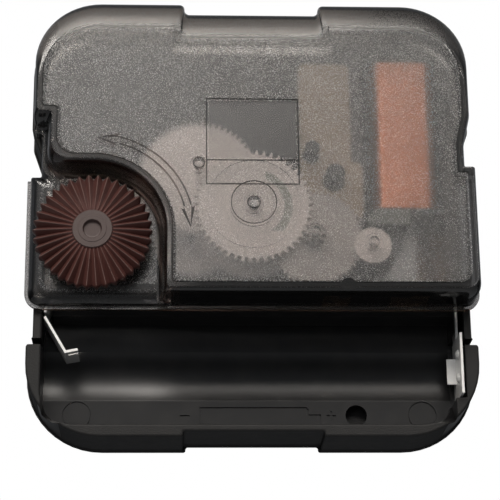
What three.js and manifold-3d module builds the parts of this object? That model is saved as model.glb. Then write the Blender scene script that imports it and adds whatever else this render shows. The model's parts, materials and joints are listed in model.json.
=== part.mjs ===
// Quartz clock movement with its battery bay, in millimetres.
// Every piece is drawn as seen from behind: x to the right, y up and z from the
// dial towards the rear cover, with the hand spindle on the z axis. The outer
// group then turns that drawing upright, so the spindle points along +Y.
import * as THREE from 'three';
import { mergeVertices } from 'three/addons/utils/BufferGeometryUtils.js';
import Module from 'manifold-3d';

const wasm = await Module();
wasm.setup();

// Fits and drawing steps
const fitGap = 0.3;
const overrun = 1;
const quarterSteps = 5;
const roundingStepCount = 2;
const roundSteps = 24;
const smallRoundSteps = 12;

// Case outline
const caseWidth = 56;
const caseHeight = 56;

// What follows the case when its width or height changes
const acrossShare = caseWidth / 56;
const heightShare = caseHeight / 56;
const planShare = Math.min(acrossShare, heightShare);
const upperCornerRadius = 8.5 * planShare;
const lowerCornerRadius = 9.5 * planShare;
const notchHalfWidth = 8.2 * acrossShare;
const upperNotchDepth = 1.4;
const lowerNotchDepth = 0.65;
const notchRadius = 0.65;
const lowerNotchRadius = 0.25;
const shoulderHeight = 12 * heightShare;
const taperLength = 4 * heightShare;
const waistInset = 1.4;
const rimInset = 0.8;
const rimStepHeight = -16.4 * heightShare;
const rimStepLength = 1.2 * heightShare;
const rimSlotHeight = -15.4 * heightShare;
const rimSlotWidth = 0.8;
const rimSlotFront = 4.2;
const outlineRadius = 0.5;

// Case walls
const plateThickness = 1.3;
const wallThickness = 1.2;
const rimDepth = 7.3;
const wallDraft = 0.3;

// Battery bay
const batteryRadius = 7.25 * heightShare;
const batteryHeight = -18.75 * heightShare;
const bayTop = -12.1 * heightShare;
const bayBottom = -26.1 * heightShare;
const bayLeft = -25.8 * acrossShare;
const bayRight = 24.7 * acrossShare;
const bayFloor = 1.9;
const bayCornerRadius = 4.2 * planShare;
const bayWallThickness = 1.1;
const troughClearance = 0.15;
const troughFloor = 1.2;
const floorHoleRadius = 1.33;
const floorHoleAcross = 12.9 * acrossShare;
const floorHoleHeight = -23.75 * heightShare;

// Rear cover
const coverTop = 13.75;
const coverThickness = 1;
const coverSideStep = 0.5;
const topEdgeRounding = 2.7;
const sideEdgeRounding = 0.6;
const pocketEdgeRounding = 0.7;
const lowerEdgeRounding = 0.8;
const edgeRise = 2.6;
const pocketFloor = 9.4;
const pocketReach = 8.5 * planShare;
const pocketJogWidth = 2.4 * acrossShare;
const pocketJogHeight = 11.4 * heightShare;
const pocketCornerRadius = 2.2;
const pocketRimRounding = 2;
const pocketRimRise = 1.4;
const coverFoot = -11.6 * heightShare;
const footCornerRadius = 1.6;
const flangeReach = 0.4;
const flangeThickness = 0.5;
const wingTop = 5.2 * heightShare;
const wingReach = 0.4;
const wingThickness = 0.7;
const wingDrop = 2;
const lipThickness = 0.7;
const lipDepth = 1;
const bayNotchRadius = 1;
const bayNotchAcross = 11.3 * acrossShare;

// Threaded stem and the three hand arbors
const stemRadius = 4;
const threadPitch = 0.75;
const threadDepth = 0.4;
const stemLength = 11;
const stemBoreRadius = 2.8;
const stemFlangeRadius = 5.2;
const stemFlangeThickness = 0.7;
const hourTubeRadius = 2.45 * planShare;
const hourTubeWall = 0.7;
const hourTubeLength = 13.6;
const minuteTubeRadius = 1.4 * planShare;
const minuteTubeWall = 0.6;
const minuteTubeLength = 16.6;
const secondShaftRadius = 0.45 * planShare;
const secondShaftLength = 18.6;
const minuteFlatDepth = 0.3;

// Gear teeth, as shares of the module or of the tooth pitch
const addendumShare = 0.78;
const dedendumShare = 1.25;
const tipWidthShare = 0.17;
const rootWidthShare = 0.52;

// Tooth counts
const teeth = {
  rotorPinion: 10,
  intermediateWheel: 50,
  intermediatePinion: 8,
  secondWheel: 48,
  secondPinion: 8,
  thirdWheel: 60,
  thirdPinion: 8,
  centreWheel: 64,
  cannonPinion: 12,
  minuteWheel: 36,
  minutePinion: 10,
  hourWheel: 40,
  knobGear: 30,
  idler: 20,
};

// Wheel centres, seen from behind
const centre = new THREE.Vector2(0, 0);
const rotorCentre = new THREE.Vector2(14.6, -4.9).multiplyScalar(planShare);
const intermediateCentre = new THREE.Vector2(7.5, -3.6).multiplyScalar(planShare);
const thirdDistance = 8.45 * planShare;
const thirdAngle = THREE.MathUtils.degToRad(142.5);
const knobCentre = new THREE.Vector2(-19.6, -3.45).multiplyScalar(planShare);
const settingModule = 0.3 * planShare;
const minuteAngle = THREE.MathUtils.degToRad(190);

// Wheel levels, measured from the dial face
const wheelThickness = 0.8;
const pinionOverhang = 0.15;
const hourLevel = 2.7;
const minuteLevel = 4;
const centreLevel = 6;
const thirdLevel = 7.3;
const secondLevel = 11.3;
const intermediateLevel = 9.9;
const hubRadius = 1.5 * planShare;
const pivotRadius = 0.35 * planShare;
const pivotTip = 1;
const postRadius = 0.75 * planShare;
const bearingRadius = 1.3 * planShare;
const bearingHeight = 0.6;

// Rear bearings, sunk in the inside of the cover
const rearBearingDepth = 0.6;
const rearBossDrop = 0.3;
const rearBossWidth = 0.5;

// Stator holder, pressed on two posts of the case
const holderFront = 8.6;
const holderThickness = 0.9;
const holderPostRadii = [0.9, 1.2].map((radius) => radius * planShare);
const holderPosts = [[7.4, 7.8], [10.2, 4.4]].map(([x, y]) => new THREE.Vector2(x, y).multiplyScalar(planShare));
const holderSeatWidth = 0.45;
const holderPostTop = 12.2;
const holderCornerRadius = 0.8;
const holderSpan = { left: 6, upperRight: 12.4, lowerRight: 13.8 };
const holderHeights = { low: -0.6, step: 6.8, top: 20.3 };
const postFit = fitGap * planShare;

// Coil, bobbin and stator
const coilAcross = 19.2 * planShare;
const coilDepth = 7;
const coilLow = 0.3 * planShare;
const coilHigh = 20.9 * planShare;
const windingHalfWidth = 3.95 * planShare;
const windingHalfDepth = 3.1;
const windingRadius = 1.35;
const wireRadius = 0.17;
const windingLoops = 24;
const stepsPerLoop = 8;
const wireSides = 5;
const bobbinFlange = 0.8;
const bobbinFlangeReach = 0.55;
const bobbinWall = 0.6;
const bobbinBlockWidth = 5.2 * planShare;
const bobbinBlockLength = 1.8 * planShare;
const bobbinBlockThickness = 3.4;
const bobbinBlockShift = 0.7;
const bobbinBlockRadius = 1.5;
const coreHalfWidth = 1.2 * planShare;
const statorThickness = 1;
const statorLegWidth = 2 * planShare;
const statorLegAcross = 13.2 * planShare;
const statorPoleWidth = 1.6 * planShare;
const statorYokeHeight = 24.3 * planShare;
const statorFoot = -9.2 * planShare;
const statorShoulder = -1.2 * planShare;
const magnetRadius = 2.6 * planShare;
const magnetBore = 0.9 * planShare;
const magnetFront = 5.6;
const magnetThickness = 2.7;
const rotorCapRadius = 2.3 * planShare;
const rotorCapFront = 11;
const rotorCapThickness = 0.6;
const airGap = 0.5;

// Circuit board
const boardFront = 3.2;
const boardThickness = 0.9;
const boardLeft = 4.6 * planShare;
const boardClearance = 0.2;
const boardRight = caseWidth / 2 - waistInset - wallThickness - wallDraft - boardClearance;
const boardLow = -10.3 * planShare;
const boardStripTop = -6.7 * planShare;
const boardBlockLeft = 17.6 * planShare;
const boardBlockTop = -0.8 * planShare;
const chipRadius = 1.5 * planShare;
const chipHeight = 0.7;
const chipPlace = new THREE.Vector2(9.4, -8.5).multiplyScalar(planShare);
const crystalRadius = 0.95 * planShare;
const crystalLength = 4.6 * planShare;
const crystalPlace = new THREE.Vector2(21, -8.7).multiplyScalar(planShare);

// Battery contacts
const stripThickness = 0.3;
const stripFront = 2.6;
const stripRear = 7.5;
const anchorFront = 4.4;
const leafRoot = new THREE.Vector2(-25.45 * acrossShare, -12.75 * heightShare);
const leafTip = new THREE.Vector2(-22.85 * acrossShare, -17.2 * heightShare);
const leafPadLength = 1.5 * heightShare;
const leafProngGap = 0.4;
const leafProngSplit = 6.1;
const anchorEnd = 4 * acrossShare;
const anchorHeight = -10.5 * heightShare;
const anchorCorner = -24.6 * acrossShare;
const slotWidth = 1.2;
const plateAcross = 25.2 * acrossShare;
const plateHalfWidth = 3.8 * heightShare;
const plateRear = 8.5;
const tongueReach = 1.1;
const tongueHalfWidth = 1.6 * heightShare;
const tongueDepth = 3.9;
const dimpleRadius = 0.75;
const dimpleSpacing = 1.5;
const dimpleHeight = 0.4;
const contactSlotRight = 26 * acrossShare;
const contactTailTop = -9.4 * heightShare;

// Setting knob
const knobRadius = 7.3 * planShare;
const knobRibs = 38;
const ribDepth = 0.45;
const grooveDepth = 0.75;
const grooveStartDepth = 0.15;
const knobRear = 13.4;
const knobEdgeRear = 12.9;
const knobFront = 11.5;
const knobHubRadius = 2.45 * planShare;
const knobHubRise = 0.15;
const knobDimpleRadius = 1.08 * planShare;
const knobDimpleDepth = 0.45;
const knobCollarRadius = 2.6 * planShare;
const knobShaftRadius = 1.2 * planShare;

// Plain finishes for the solids
const finishes = {
  casePlastic: { color: 0x17171a, roughness: 0.55, metalness: 0 },
  smokePlastic: { color: 0x5d5853, roughness: 0.35, metalness: 0 },
  knobPlastic: { color: 0x6e3a33, roughness: 0.35, metalness: 0 },
  wheelPlastic: { color: 0xd8d2cb, roughness: 0.5, metalness: 0 },
  bobbinPlastic: { color: 0x3a3d3f, roughness: 0.6, metalness: 0 },
  brass: { color: 0xb8954f, roughness: 0.3, metalness: 1 },
  steel: { color: 0xb9bcc0, roughness: 0.3, metalness: 1 },
  nickel: { color: 0xd9d9d4, roughness: 0.25, metalness: 1 },
  copper: { color: 0xb4653c, roughness: 0.35, metalness: 1 },
  board: { color: 0x6d472b, roughness: 0.6, metalness: 0 },
  ferrite: { color: 0x2d2d30, roughness: 0.6, metalness: 0.2 },
  epoxy: { color: 0x111113, roughness: 0.3, metalness: 0 },
};

// A closed solid from a geometry, and the geometry back again
function solidOf(geometry) {
  const bare = geometry.clone();
  bare.deleteAttribute('normal');
  bare.deleteAttribute('uv');
  const merged = mergeVertices(bare, 1e-4);
  const vertProperties = new Float32Array(merged.attributes.position.array);
  const triVerts = new Uint32Array(merged.index.array);
  return new wasm.Manifold(new wasm.Mesh({ numProp: 3, vertProperties, triVerts }));
}

function geometryOf(solid) {
  const mesh = solid.getMesh();
  const geometry = new THREE.BufferGeometry();
  geometry.setAttribute('position', new THREE.BufferAttribute(new Float32Array(mesh.vertProperties), 3));
  geometry.setIndex(new THREE.BufferAttribute(new Uint32Array(mesh.triVerts), 1));
  return geometry;
}

function joined(...geometries) {
  return geometryOf(geometries.map(solidOf).reduce((whole, next) => whole.add(next)));
}

function cut(body, ...tools) {
  return geometryOf(tools.map(solidOf).reduce((whole, next) => whole.subtract(next), solidOf(body)));
}

// An outline with its corners rounded; each corner is [x, y, radius]
function roundedOutline(corners) {
  const points = [];
  corners.forEach(([x, y, radius], index) => {
    const corner = new THREE.Vector2(x, y);
    const before = corners[(index + corners.length - 1) % corners.length];
    const after = corners[(index + 1) % corners.length];
    const toBefore = new THREE.Vector2(before[0], before[1]).sub(corner);
    const toAfter = new THREE.Vector2(after[0], after[1]).sub(corner);
    const halfAngle = Math.acos(THREE.MathUtils.clamp(toBefore.dot(toAfter)
      / (toBefore.length() * toAfter.length()), -1, 1)) / 2;
    if (radius === 0) {
      points.push(corner);
      return;
    }
    const reach = radius / Math.tan(halfAngle);
    const start = corner.clone().add(toBefore.setLength(reach));
    const end = corner.clone().add(toAfter.setLength(reach));
    const middle = corner.clone().add(toBefore.clone().add(toAfter).setLength(radius / Math.sin(halfAngle)));
    const from = start.clone().sub(middle).angle();
    let turn = end.clone().sub(middle).angle() - from;
    turn -= Math.round(turn / (2 * Math.PI)) * 2 * Math.PI;
    const steps = Math.max(Math.round(quarterSteps * Math.abs(turn) / (Math.PI / 2)), 1);
    for (let step = 0; step <= steps; step += 1) {
      const angle = from + turn * step / steps;
      points.push(new THREE.Vector2(Math.cos(angle), Math.sin(angle)).multiplyScalar(radius).add(middle));
    }
  });
  return points;
}

function circlePoints(radius, steps, place = centre) {
  const points = [];
  for (let step = 0; step < steps; step += 1) {
    const angle = 2 * Math.PI * step / steps;
    points.push(new THREE.Vector2(Math.cos(angle), Math.sin(angle)).multiplyScalar(radius).add(place));
  }
  return points;
}

// A straight prism over an outline, between two depths, with holes if given
function prism(outline, front, rear, holes = []) {
  const shape = new THREE.Shape(outline);
  holes.forEach((hole) => shape.holes.push(new THREE.Path(hole)));
  const geometry = new THREE.ExtrudeGeometry(shape, { depth: rear - front, steps: 1, bevelEnabled: false });
  return geometry.translate(0, 0, front);
}

function block(left, right, low, high, front, rear) {
  const geometry = new THREE.BoxGeometry(right - left, high - low, rear - front);
  return geometry.translate((left + right) / 2, (low + high) / 2, (front + rear) / 2);
}

function disc(radius, front, rear, place = centre, steps = roundSteps) {
  return prism(circlePoints(radius, steps, place), front, rear);
}

function ring(outer, inner, front, rear, place = centre, steps = roundSteps) {
  return prism(circlePoints(outer, steps, place), front, rear, [circlePoints(inner, steps, place)]);
}

// A solid through a stack of outlines that all have the same number of points
function stacked(levels) {
  const count = levels[0].outline.length;
  const positions = levels.flatMap(({ outline, depth }) => outline.flatMap((point) => [point.x, point.y, depth]));
  const cap = THREE.ShapeUtils.triangulateShape(levels[0].outline, []);
  const indices = [];
  const anticlockwise = THREE.ShapeUtils.area(levels[0].outline) > 0;
  const push = (a, b, c) => (anticlockwise ? indices.push(a, b, c) : indices.push(a, c, b));
  const top = (levels.length - 1) * count;
  cap.forEach(([a, b, c]) => {
    indices.push(a, c, b);
    indices.push(a + top, b + top, c + top);
  });
  for (let level = 0; level + 1 < levels.length; level += 1) {
    for (let point = 0; point < count; point += 1) {
      const next = (point + 1) % count;
      const low = level * count;
      const high = low + count;
      push(low + point, low + next, high + next);
      push(low + point, high + next, high + point);
    }
  }
  const geometry = new THREE.BufferGeometry();
  geometry.setAttribute('position', new THREE.Float32BufferAttribute(positions, 3));
  geometry.setIndex(indices);
  return geometry;
}

// Rounding over an edge: how far in it has come, and how high, after each step
function roundingSteps(steps) {
  return Array.from({ length: steps + 1 }, (_, step) => {
    const angle = Math.PI / 2 * step / steps;
    return { inShare: 1 - Math.cos(angle), riseShare: Math.sin(angle) };
  });
}

// Gear outline with straight-sided teeth; tooth 0 stands on the x axis
function gearOutline(count, module) {
  const pitchRadius = count * module / 2;
  const tip = pitchRadius + addendumShare * module;
  const root = pitchRadius - dedendumShare * module;
  const pitchAngle = 2 * Math.PI / count;
  const points = [];
  for (let tooth = 0; tooth < count; tooth += 1) {
    [[root, -rootWidthShare], [tip, -tipWidthShare], [tip, tipWidthShare], [root, rootWidthShare]]
      .forEach(([radius, widthShare]) => {
        const angle = pitchAngle * (tooth + widthShare / 2);
        points.push(new THREE.Vector2(Math.cos(angle), Math.sin(angle)).multiplyScalar(radius));
      });
  }
  return points;
}

// The module that lets two gears meet over a given distance
function moduleFor(distance, firstTeeth, secondTeeth) {
  return 2 * distance / (firstTeeth + secondTeeth);
}

// The turn that puts a gap of the second gear where the first gear has a tooth
function meshedTurn(firstTurn, firstTeeth, secondTeeth, direction) {
  const firstPitch = 2 * Math.PI / firstTeeth;
  const secondPitch = 2 * Math.PI / secondTeeth;
  const share = (direction - firstTurn) / firstPitch;
  return direction + Math.PI - (1 / 2 - share) * secondPitch;
}

function directionTo(from, to) {
  return to.clone().sub(from).angle();
}

// Wheel places and modules worked out from the train
const thirdCentre = new THREE.Vector2(Math.cos(thirdAngle), Math.sin(thirdAngle)).multiplyScalar(thirdDistance);
const rotorModule = moduleFor(rotorCentre.distanceTo(intermediateCentre),
  teeth.rotorPinion, teeth.intermediateWheel);
const secondModule = moduleFor(intermediateCentre.length(), teeth.intermediatePinion, teeth.secondWheel);
const thirdModule = moduleFor(thirdDistance, teeth.secondPinion, teeth.thirdWheel);
const centreModule = moduleFor(thirdDistance, teeth.thirdPinion, teeth.centreWheel);
const minuteDistance = settingModule * (teeth.cannonPinion + teeth.minuteWheel) / 2;
const hourModule = moduleFor(minuteDistance, teeth.minutePinion, teeth.hourWheel);
const minuteCentre = new THREE.Vector2(Math.cos(minuteAngle), Math.sin(minuteAngle)).multiplyScalar(minuteDistance);
const idlerCentre = (() => {
  const toKnob = settingModule * (teeth.knobGear + teeth.idler) / 2;
  const toMinute = settingModule * (teeth.minuteWheel + teeth.idler) / 2;
  const span = minuteCentre.distanceTo(knobCentre);
  const along = (toKnob ** 2 - toMinute ** 2 + span ** 2) / (2 * span);
  const aside = Math.sqrt(toKnob ** 2 - along ** 2);
  const direction = minuteCentre.clone().sub(knobCentre).normalize();
  const across = new THREE.Vector2(-direction.y, direction.x);
  return knobCentre.clone().addScaledVector(direction, along).addScaledVector(across, aside);
})();

// Turns of the wheels at rest, so that every pair stands in mesh
const turns = { intermediate: 0, knob: 0 };
turns.rotor = meshedTurn(turns.intermediate, teeth.intermediateWheel, teeth.rotorPinion,
  directionTo(intermediateCentre, rotorCentre));
turns.second = meshedTurn(turns.intermediate, teeth.intermediatePinion, teeth.secondWheel,
  directionTo(intermediateCentre, centre));
turns.third = meshedTurn(turns.second, teeth.secondPinion, teeth.thirdWheel, directionTo(centre, thirdCentre));
turns.centre = meshedTurn(turns.third, teeth.thirdPinion, teeth.centreWheel, directionTo(thirdCentre, centre));
turns.idler = meshedTurn(turns.knob, teeth.knobGear, teeth.idler, directionTo(knobCentre, idlerCentre));
turns.minuteWheel = meshedTurn(turns.idler, teeth.idler, teeth.minuteWheel,
  directionTo(idlerCentre, minuteCentre));
turns.cannon = meshedTurn(turns.minuteWheel, teeth.minuteWheel, teeth.cannonPinion,
  directionTo(minuteCentre, centre));
turns.hour = meshedTurn(turns.minuteWheel, teeth.minutePinion, teeth.hourWheel,
  directionTo(minuteCentre, centre));

// The movement drawn as seen from behind, and its pieces
const movement = new THREE.Group();
movement.rotation.x = Math.PI / 2;

function addPiece(name, geometry, finish, place = centre, turn = 0) {
  const mesh = new THREE.Mesh(geometry, new THREE.MeshStandardMaterial(finishes[finish]));
  mesh.name = name;
  mesh.position.set(place.x, place.y, 0);
  mesh.rotation.z = turn;
  movement.add(mesh);
}

// Case outline, moved in by an inset all round
function caseOutline(inset) {
  const side = caseWidth / 2 - inset;
  const top = caseHeight / 2 - inset;
  const notch = notchHalfWidth + inset;
  const upperRadius = upperCornerRadius - inset;
  const lowerRadius = lowerCornerRadius - inset;
  const half = [
    [notch, top - upperNotchDepth, notchRadius],
    [notch, top, notchRadius],
    [side, top, upperRadius],
    [side, shoulderHeight, outlineRadius],
    [side - waistInset, shoulderHeight - taperLength, outlineRadius],
    [side - waistInset, coverFoot, 0],
    [side - rimInset, coverFoot, 0],
    [side - rimInset, rimStepHeight + rimStepLength, 0],
    [side, rimStepHeight, 0],
    [side, -top, lowerRadius],
    [notch, -top, lowerNotchRadius],
    [notch, lowerNotchDepth - top, lowerNotchRadius],
  ];
  const mirrored = half.map(([x, y, radius]) => [-x, y, radius]).reverse();
  return roundedOutline([...half, ...mirrored]);
}

// The inside of the case above the battery bay
function chamberOutline(inset) {
  const side = caseWidth / 2 - inset;
  const top = caseHeight / 2 - inset;
  const floor = bayTop + bayWallThickness;
  const half = [
    [notchHalfWidth + inset, top - upperNotchDepth, notchRadius],
    [notchHalfWidth + inset, top, notchRadius],
    [side, top, upperCornerRadius - inset],
    [side, shoulderHeight, outlineRadius],
    [side - waistInset, shoulderHeight - taperLength, outlineRadius],
    [side - waistInset, floor, outlineRadius],
  ];
  const mirrored = half.map(([x, y, radius]) => [-x, y, radius]).reverse();
  return roundedOutline([...half, ...mirrored]);
}

function bayOutline() {
  return roundedOutline([
    [bayLeft, bayTop, 0],
    [bayRight, bayTop, 0],
    [bayRight, bayBottom, bayCornerRadius],
    [bayLeft, bayBottom, bayCornerRadius],
  ]);
}

// A rod along x, for the battery trough and the crystal can
function rodAcross(radius, left, right, height, depth, steps) {
  const geometry = new THREE.CylinderGeometry(radius, radius, right - left, steps);
  return geometry.rotateZ(Math.PI / 2).translate((left + right) / 2, height, depth);
}

// Front case: dial plate, walls, battery bay, bearings and posts
function frontCase() {
  const shell = stacked([
    { outline: caseOutline(0), depth: 0 },
    { outline: caseOutline(wallDraft), depth: rimDepth },
  ]);
  const troughRadius = batteryRadius + troughClearance;
  const hollowed = cut(shell,
    prism(chamberOutline(wallThickness + wallDraft), plateThickness, rimDepth + overrun),
    prism(bayOutline(), bayFloor, rimDepth + overrun),
    rodAcross(troughRadius, bayLeft, bayRight, batteryHeight, troughFloor + troughRadius, roundSteps * 2),
    block(bayRight - overrun, contactSlotRight, batteryHeight - plateHalfWidth - fitGap,
      batteryHeight + plateHalfWidth + fitGap, bayFloor, rimDepth + overrun),
    block(contactSlotRight - slotWidth, contactSlotRight, batteryHeight + plateHalfWidth - overrun,
      contactTailTop + fitGap, stripFront - fitGap, rimDepth + overrun),
    block(bayLeft, bayLeft + slotWidth, bayTop - overrun, bayTop + bayWallThickness + overrun,
      stripFront - fitGap, rimDepth + overrun),
    block(-caseWidth, caseWidth, rimSlotHeight - rimSlotWidth, rimSlotHeight, rimSlotFront, rimDepth + overrun),
    disc(floorHoleRadius, -overrun, bayFloor + overrun, new THREE.Vector2(floorHoleAcross, floorHoleHeight)),
    disc(stemRadius + fitGap, -overrun, plateThickness + overrun));
  const bearings = [thirdCentre, intermediateCentre, rotorCentre, knobCentre].map((place) => disc(
    place === knobCentre ? knobShaftRadius + 2 * fitGap + bearingHeight : bearingRadius,
    plateThickness - fitGap, plateThickness + bearingHeight, place));
  const wheelPosts = [minuteCentre, idlerCentre].map((place) => disc(
    postRadius, plateThickness - fitGap, minuteLevel + wheelThickness + fitGap, place, smallRoundSteps));
  const pillars = holderPosts.flatMap((place, index) => [
    disc(holderPostRadii[index] + holderSeatWidth, plateThickness - fitGap, holderFront - fitGap, place,
      smallRoundSteps),
    disc(holderPostRadii[index], holderFront - 2 * fitGap, holderPostTop, place, smallRoundSteps),
  ]);
  const pivotHoles = [thirdCentre, intermediateCentre, rotorCentre].map((place) => disc(
    pivotRadius + fitGap, pivotTip - fitGap, rimDepth, place, smallRoundSteps));
  pivotHoles.push(disc(knobShaftRadius + fitGap, pivotTip - fitGap, rimDepth, knobCentre));
  return cut(joined(hollowed, ...bearings, ...wheelPosts, ...pillars), ...pivotHoles);
}
addPiece('front_case', frontCase(), 'casePlastic');

// Cover outline at the raised level; sides, top, pocket wall and foot move in by their own insets
function raisedOutline(sideIn, topIn, pocketIn, footIn) {
  const side = caseWidth / 2 - wallDraft - coverSideStep - sideIn;
  const waist = caseWidth / 2 - wallDraft - waistInset - sideIn;
  const top = caseHeight / 2 - wallDraft - topIn;
  const notch = notchHalfWidth + wallDraft + Math.min(topIn, sideIn);
  const wing = caseWidth / 2 - wingReach - sideIn;
  const pocketLeft = wallThickness + pocketJogWidth - caseWidth / 2 - coverThickness + pocketIn;
  const pocketTop = knobCentre.y + pocketReach + pocketIn;
  const pocketRight = knobCentre.x + pocketReach + pocketIn;
  const foot = coverFoot + footIn;
  return roundedOutline([
    [-side, pocketJogHeight + pocketIn, outlineRadius],
    [-side, top, upperCornerRadius - wallDraft - Math.min(topIn, sideIn)],
    [-notch, top, notchRadius],
    [-notch, top - upperNotchDepth, notchRadius],
    [notch, top - upperNotchDepth, notchRadius],
    [notch, top, notchRadius],
    [side, top, upperCornerRadius - wallDraft - Math.min(topIn, sideIn)],
    [side, shoulderHeight, outlineRadius],
    [waist, shoulderHeight - taperLength, outlineRadius],
    [waist, wingTop - sideIn, outlineRadius / 2],
    [wing, wingTop - sideIn, outlineRadius / 2],
    [wing, foot, footCornerRadius],
    [pocketRight, foot, outlineRadius],
    [pocketRight, pocketTop, pocketReach + pocketIn],
    [pocketLeft, pocketTop, pocketCornerRadius],
    [pocketLeft, pocketJogHeight + pocketIn, outlineRadius],
  ]);
}

// Outline of the low part round the knob pocket
function pocketOutline(edgeIn) {
  const waist = caseWidth / 2 - wallDraft - waistInset - edgeIn;
  const wing = caseWidth / 2 - wingReach - edgeIn;
  const inner = knobCentre.x + pocketReach + coverThickness + overrun;
  const top = pocketJogHeight + coverThickness + overrun;
  return roundedOutline([
    [-waist, top, 0],
    [inner, top, 0],
    [inner, coverFoot + edgeIn, 0],
    [-wing, coverFoot + edgeIn, footCornerRadius],
    [-wing, wingTop - edgeIn, outlineRadius / 2],
    [-waist, wingTop - edgeIn, outlineRadius / 2],
  ]);
}

function coverBody(grow, front, raisedTop, pocketTop) {
  const rounded = roundingSteps(roundingStepCount);
  const raised = [
    { outline: raisedOutline(grow, grow, grow, grow), depth: front },
    ...rounded.map(({ inShare, riseShare }) => ({
      outline: raisedOutline(grow + sideEdgeRounding * inShare, grow + topEdgeRounding * inShare,
        grow + pocketEdgeRounding * inShare, grow + lowerEdgeRounding * inShare),
      depth: raisedTop - edgeRise + edgeRise * riseShare,
    })),
  ];
  const low = [
    { outline: pocketOutline(grow), depth: front },
    ...rounded.map(({ inShare, riseShare }) => ({
      outline: pocketOutline(grow + pocketRimRounding * inShare),
      depth: pocketTop - pocketRimRise + pocketRimRise * riseShare,
    })),
  ];
  return joined(stacked(raised), stacked(low));
}

// Outline of the cover's foot, moved out by a reach
function footOutline(reach, top) {
  const side = caseWidth / 2 - wingReach + reach;
  const foot = coverFoot - reach;
  return roundedOutline([
    [-side, foot, footCornerRadius + reach],
    [side, foot, footCornerRadius + reach],
    [side, top, 0],
    [-side, top, 0],
  ]);
}

function rearCover() {
  const foot = rimDepth + fitGap;
  const outer = coverBody(0, foot, coverTop, pocketFloor);
  const inner = coverBody(coverThickness, foot - overrun, coverTop - coverThickness,
    pocketFloor - coverThickness);
  const wingSide = caseWidth / 2 - wingReach - fitGap / 3;
  const wings = [-1, 1].map((sign) => block(
    Math.min(sign * wingSide, sign * (wingSide - wingThickness)),
    Math.max(sign * wingSide, sign * (wingSide - wingThickness)),
    coverFoot + footCornerRadius + outlineRadius, wingTop - outlineRadius, foot - wingDrop, foot + overrun));
  const flange = cut(prism(footOutline(flangeReach, wingTop - outlineRadius), foot, foot + flangeThickness),
    prism(footOutline(-coverThickness / 2, wingTop), foot - overrun, foot + overrun));
  const lipInset = wallThickness + wallDraft + fitGap;
  const lip = cut(prism(chamberOutline(lipInset), rimDepth - lipDepth, foot + fitGap),
    prism(chamberOutline(lipInset + lipThickness), rimDepth - lipDepth - overrun, foot + overrun),
    block(-caseWidth, caseWidth, -caseHeight, coverFoot + 2 * coverThickness, 0, coverTop));
  const lipBridge = cut(prism(chamberOutline(wallThickness - fitGap / 2), foot, foot + flangeThickness),
    prism(chamberOutline(lipInset + lipThickness), foot - overrun, foot + overrun),
    block(-caseWidth, caseWidth, -caseHeight, coverFoot + 2 * coverThickness, 0, coverTop));
  const inside = coverTop - coverThickness;
  const rearBearings = [centre, thirdCentre, intermediateCentre, rotorCentre];
  const boreOf = (place) => (place === centre ? secondShaftRadius : pivotRadius) + fitGap;
  const bosses = rearBearings.map((place) => disc(boreOf(place) + rearBossWidth, inside - rearBossDrop,
    inside + fitGap, place, smallRoundSteps));
  const bores = rearBearings.map((place) => disc(boreOf(place), inside - overrun, inside + rearBearingDepth,
    place, smallRoundSteps));
  const shell = joined(cut(outer, inner), ...wings, flange, lip, lipBridge, ...bosses);
  return cut(shell, ...bores,
    disc(knobShaftRadius + fitGap, 0, coverTop, knobCentre),
    disc(bayNotchRadius, coverTop - coverThickness - overrun, coverTop + overrun,
      new THREE.Vector2(bayNotchAcross, coverFoot + lowerEdgeRounding)));
}
addPiece('rear_cover', rearCover(), 'smokePlastic');

// Threaded stem: a turned bush with ring grooves at the thread's pitch
function threadedStem() {
  const seat = plateThickness + fitGap;
  const grooves = Math.floor(stemLength / threadPitch) - 1;
  const profile = [
    new THREE.Vector2(stemBoreRadius, seat + stemFlangeThickness),
    new THREE.Vector2(stemBoreRadius, -stemLength),
    new THREE.Vector2(stemRadius - threadDepth, -stemLength),
  ];
  for (let groove = 0; groove < grooves; groove += 1) {
    const start = threadPitch * groove - stemLength;
    profile.push(new THREE.Vector2(stemRadius, start + threadPitch / 2));
    profile.push(new THREE.Vector2(stemRadius - threadDepth, start + threadPitch));
  }
  profile.push(new THREE.Vector2(stemRadius - threadDepth, seat));
  profile.push(new THREE.Vector2(stemFlangeRadius, seat));
  profile.push(new THREE.Vector2(stemFlangeRadius, seat + stemFlangeThickness));
  profile.push(profile[0].clone());
  return new THREE.LatheGeometry(profile, roundSteps).rotateX(Math.PI / 2);
}
addPiece('threaded_stem', threadedStem(), 'brass');

// A wheel with its own pinion and pivots, moulded in one
function trainWheel({ count, module, level, pinionCount, pinionModule, pinionLevel, rearTip }) {
  const pinionFront = pinionLevel - pinionOverhang;
  const pinionRear = pinionLevel + wheelThickness + pinionOverhang;
  const low = Math.min(level, pinionFront);
  const high = Math.max(level + wheelThickness, pinionRear);
  return joined(
    prism(gearOutline(count, module), level, level + wheelThickness),
    prism(gearOutline(pinionCount, pinionModule), pinionFront, pinionRear),
    disc(pinionCount * pinionModule / 2 - dedendumShare * pinionModule - fitGap / 2, low, high, centre,
      smallRoundSteps),
    disc(pivotRadius, pivotTip, rearTip, centre, smallRoundSteps));
}

const pivotRearTip = coverTop - coverThickness + rearBearingDepth - fitGap / 2;
addPiece('third_wheel', trainWheel({
  count: teeth.thirdWheel,
  module: thirdModule,
  level: thirdLevel,
  pinionCount: teeth.thirdPinion,
  pinionModule: centreModule,
  pinionLevel: centreLevel,
  rearTip: pivotRearTip,
}), 'wheelPlastic', thirdCentre, turns.third);
addPiece('intermediate_wheel', trainWheel({
  count: teeth.intermediateWheel,
  module: rotorModule,
  level: intermediateLevel,
  pinionCount: teeth.intermediatePinion,
  pinionModule: secondModule,
  pinionLevel: secondLevel,
  rearTip: pivotRearTip,
}), 'wheelPlastic', intermediateCentre, turns.intermediate);

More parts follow.
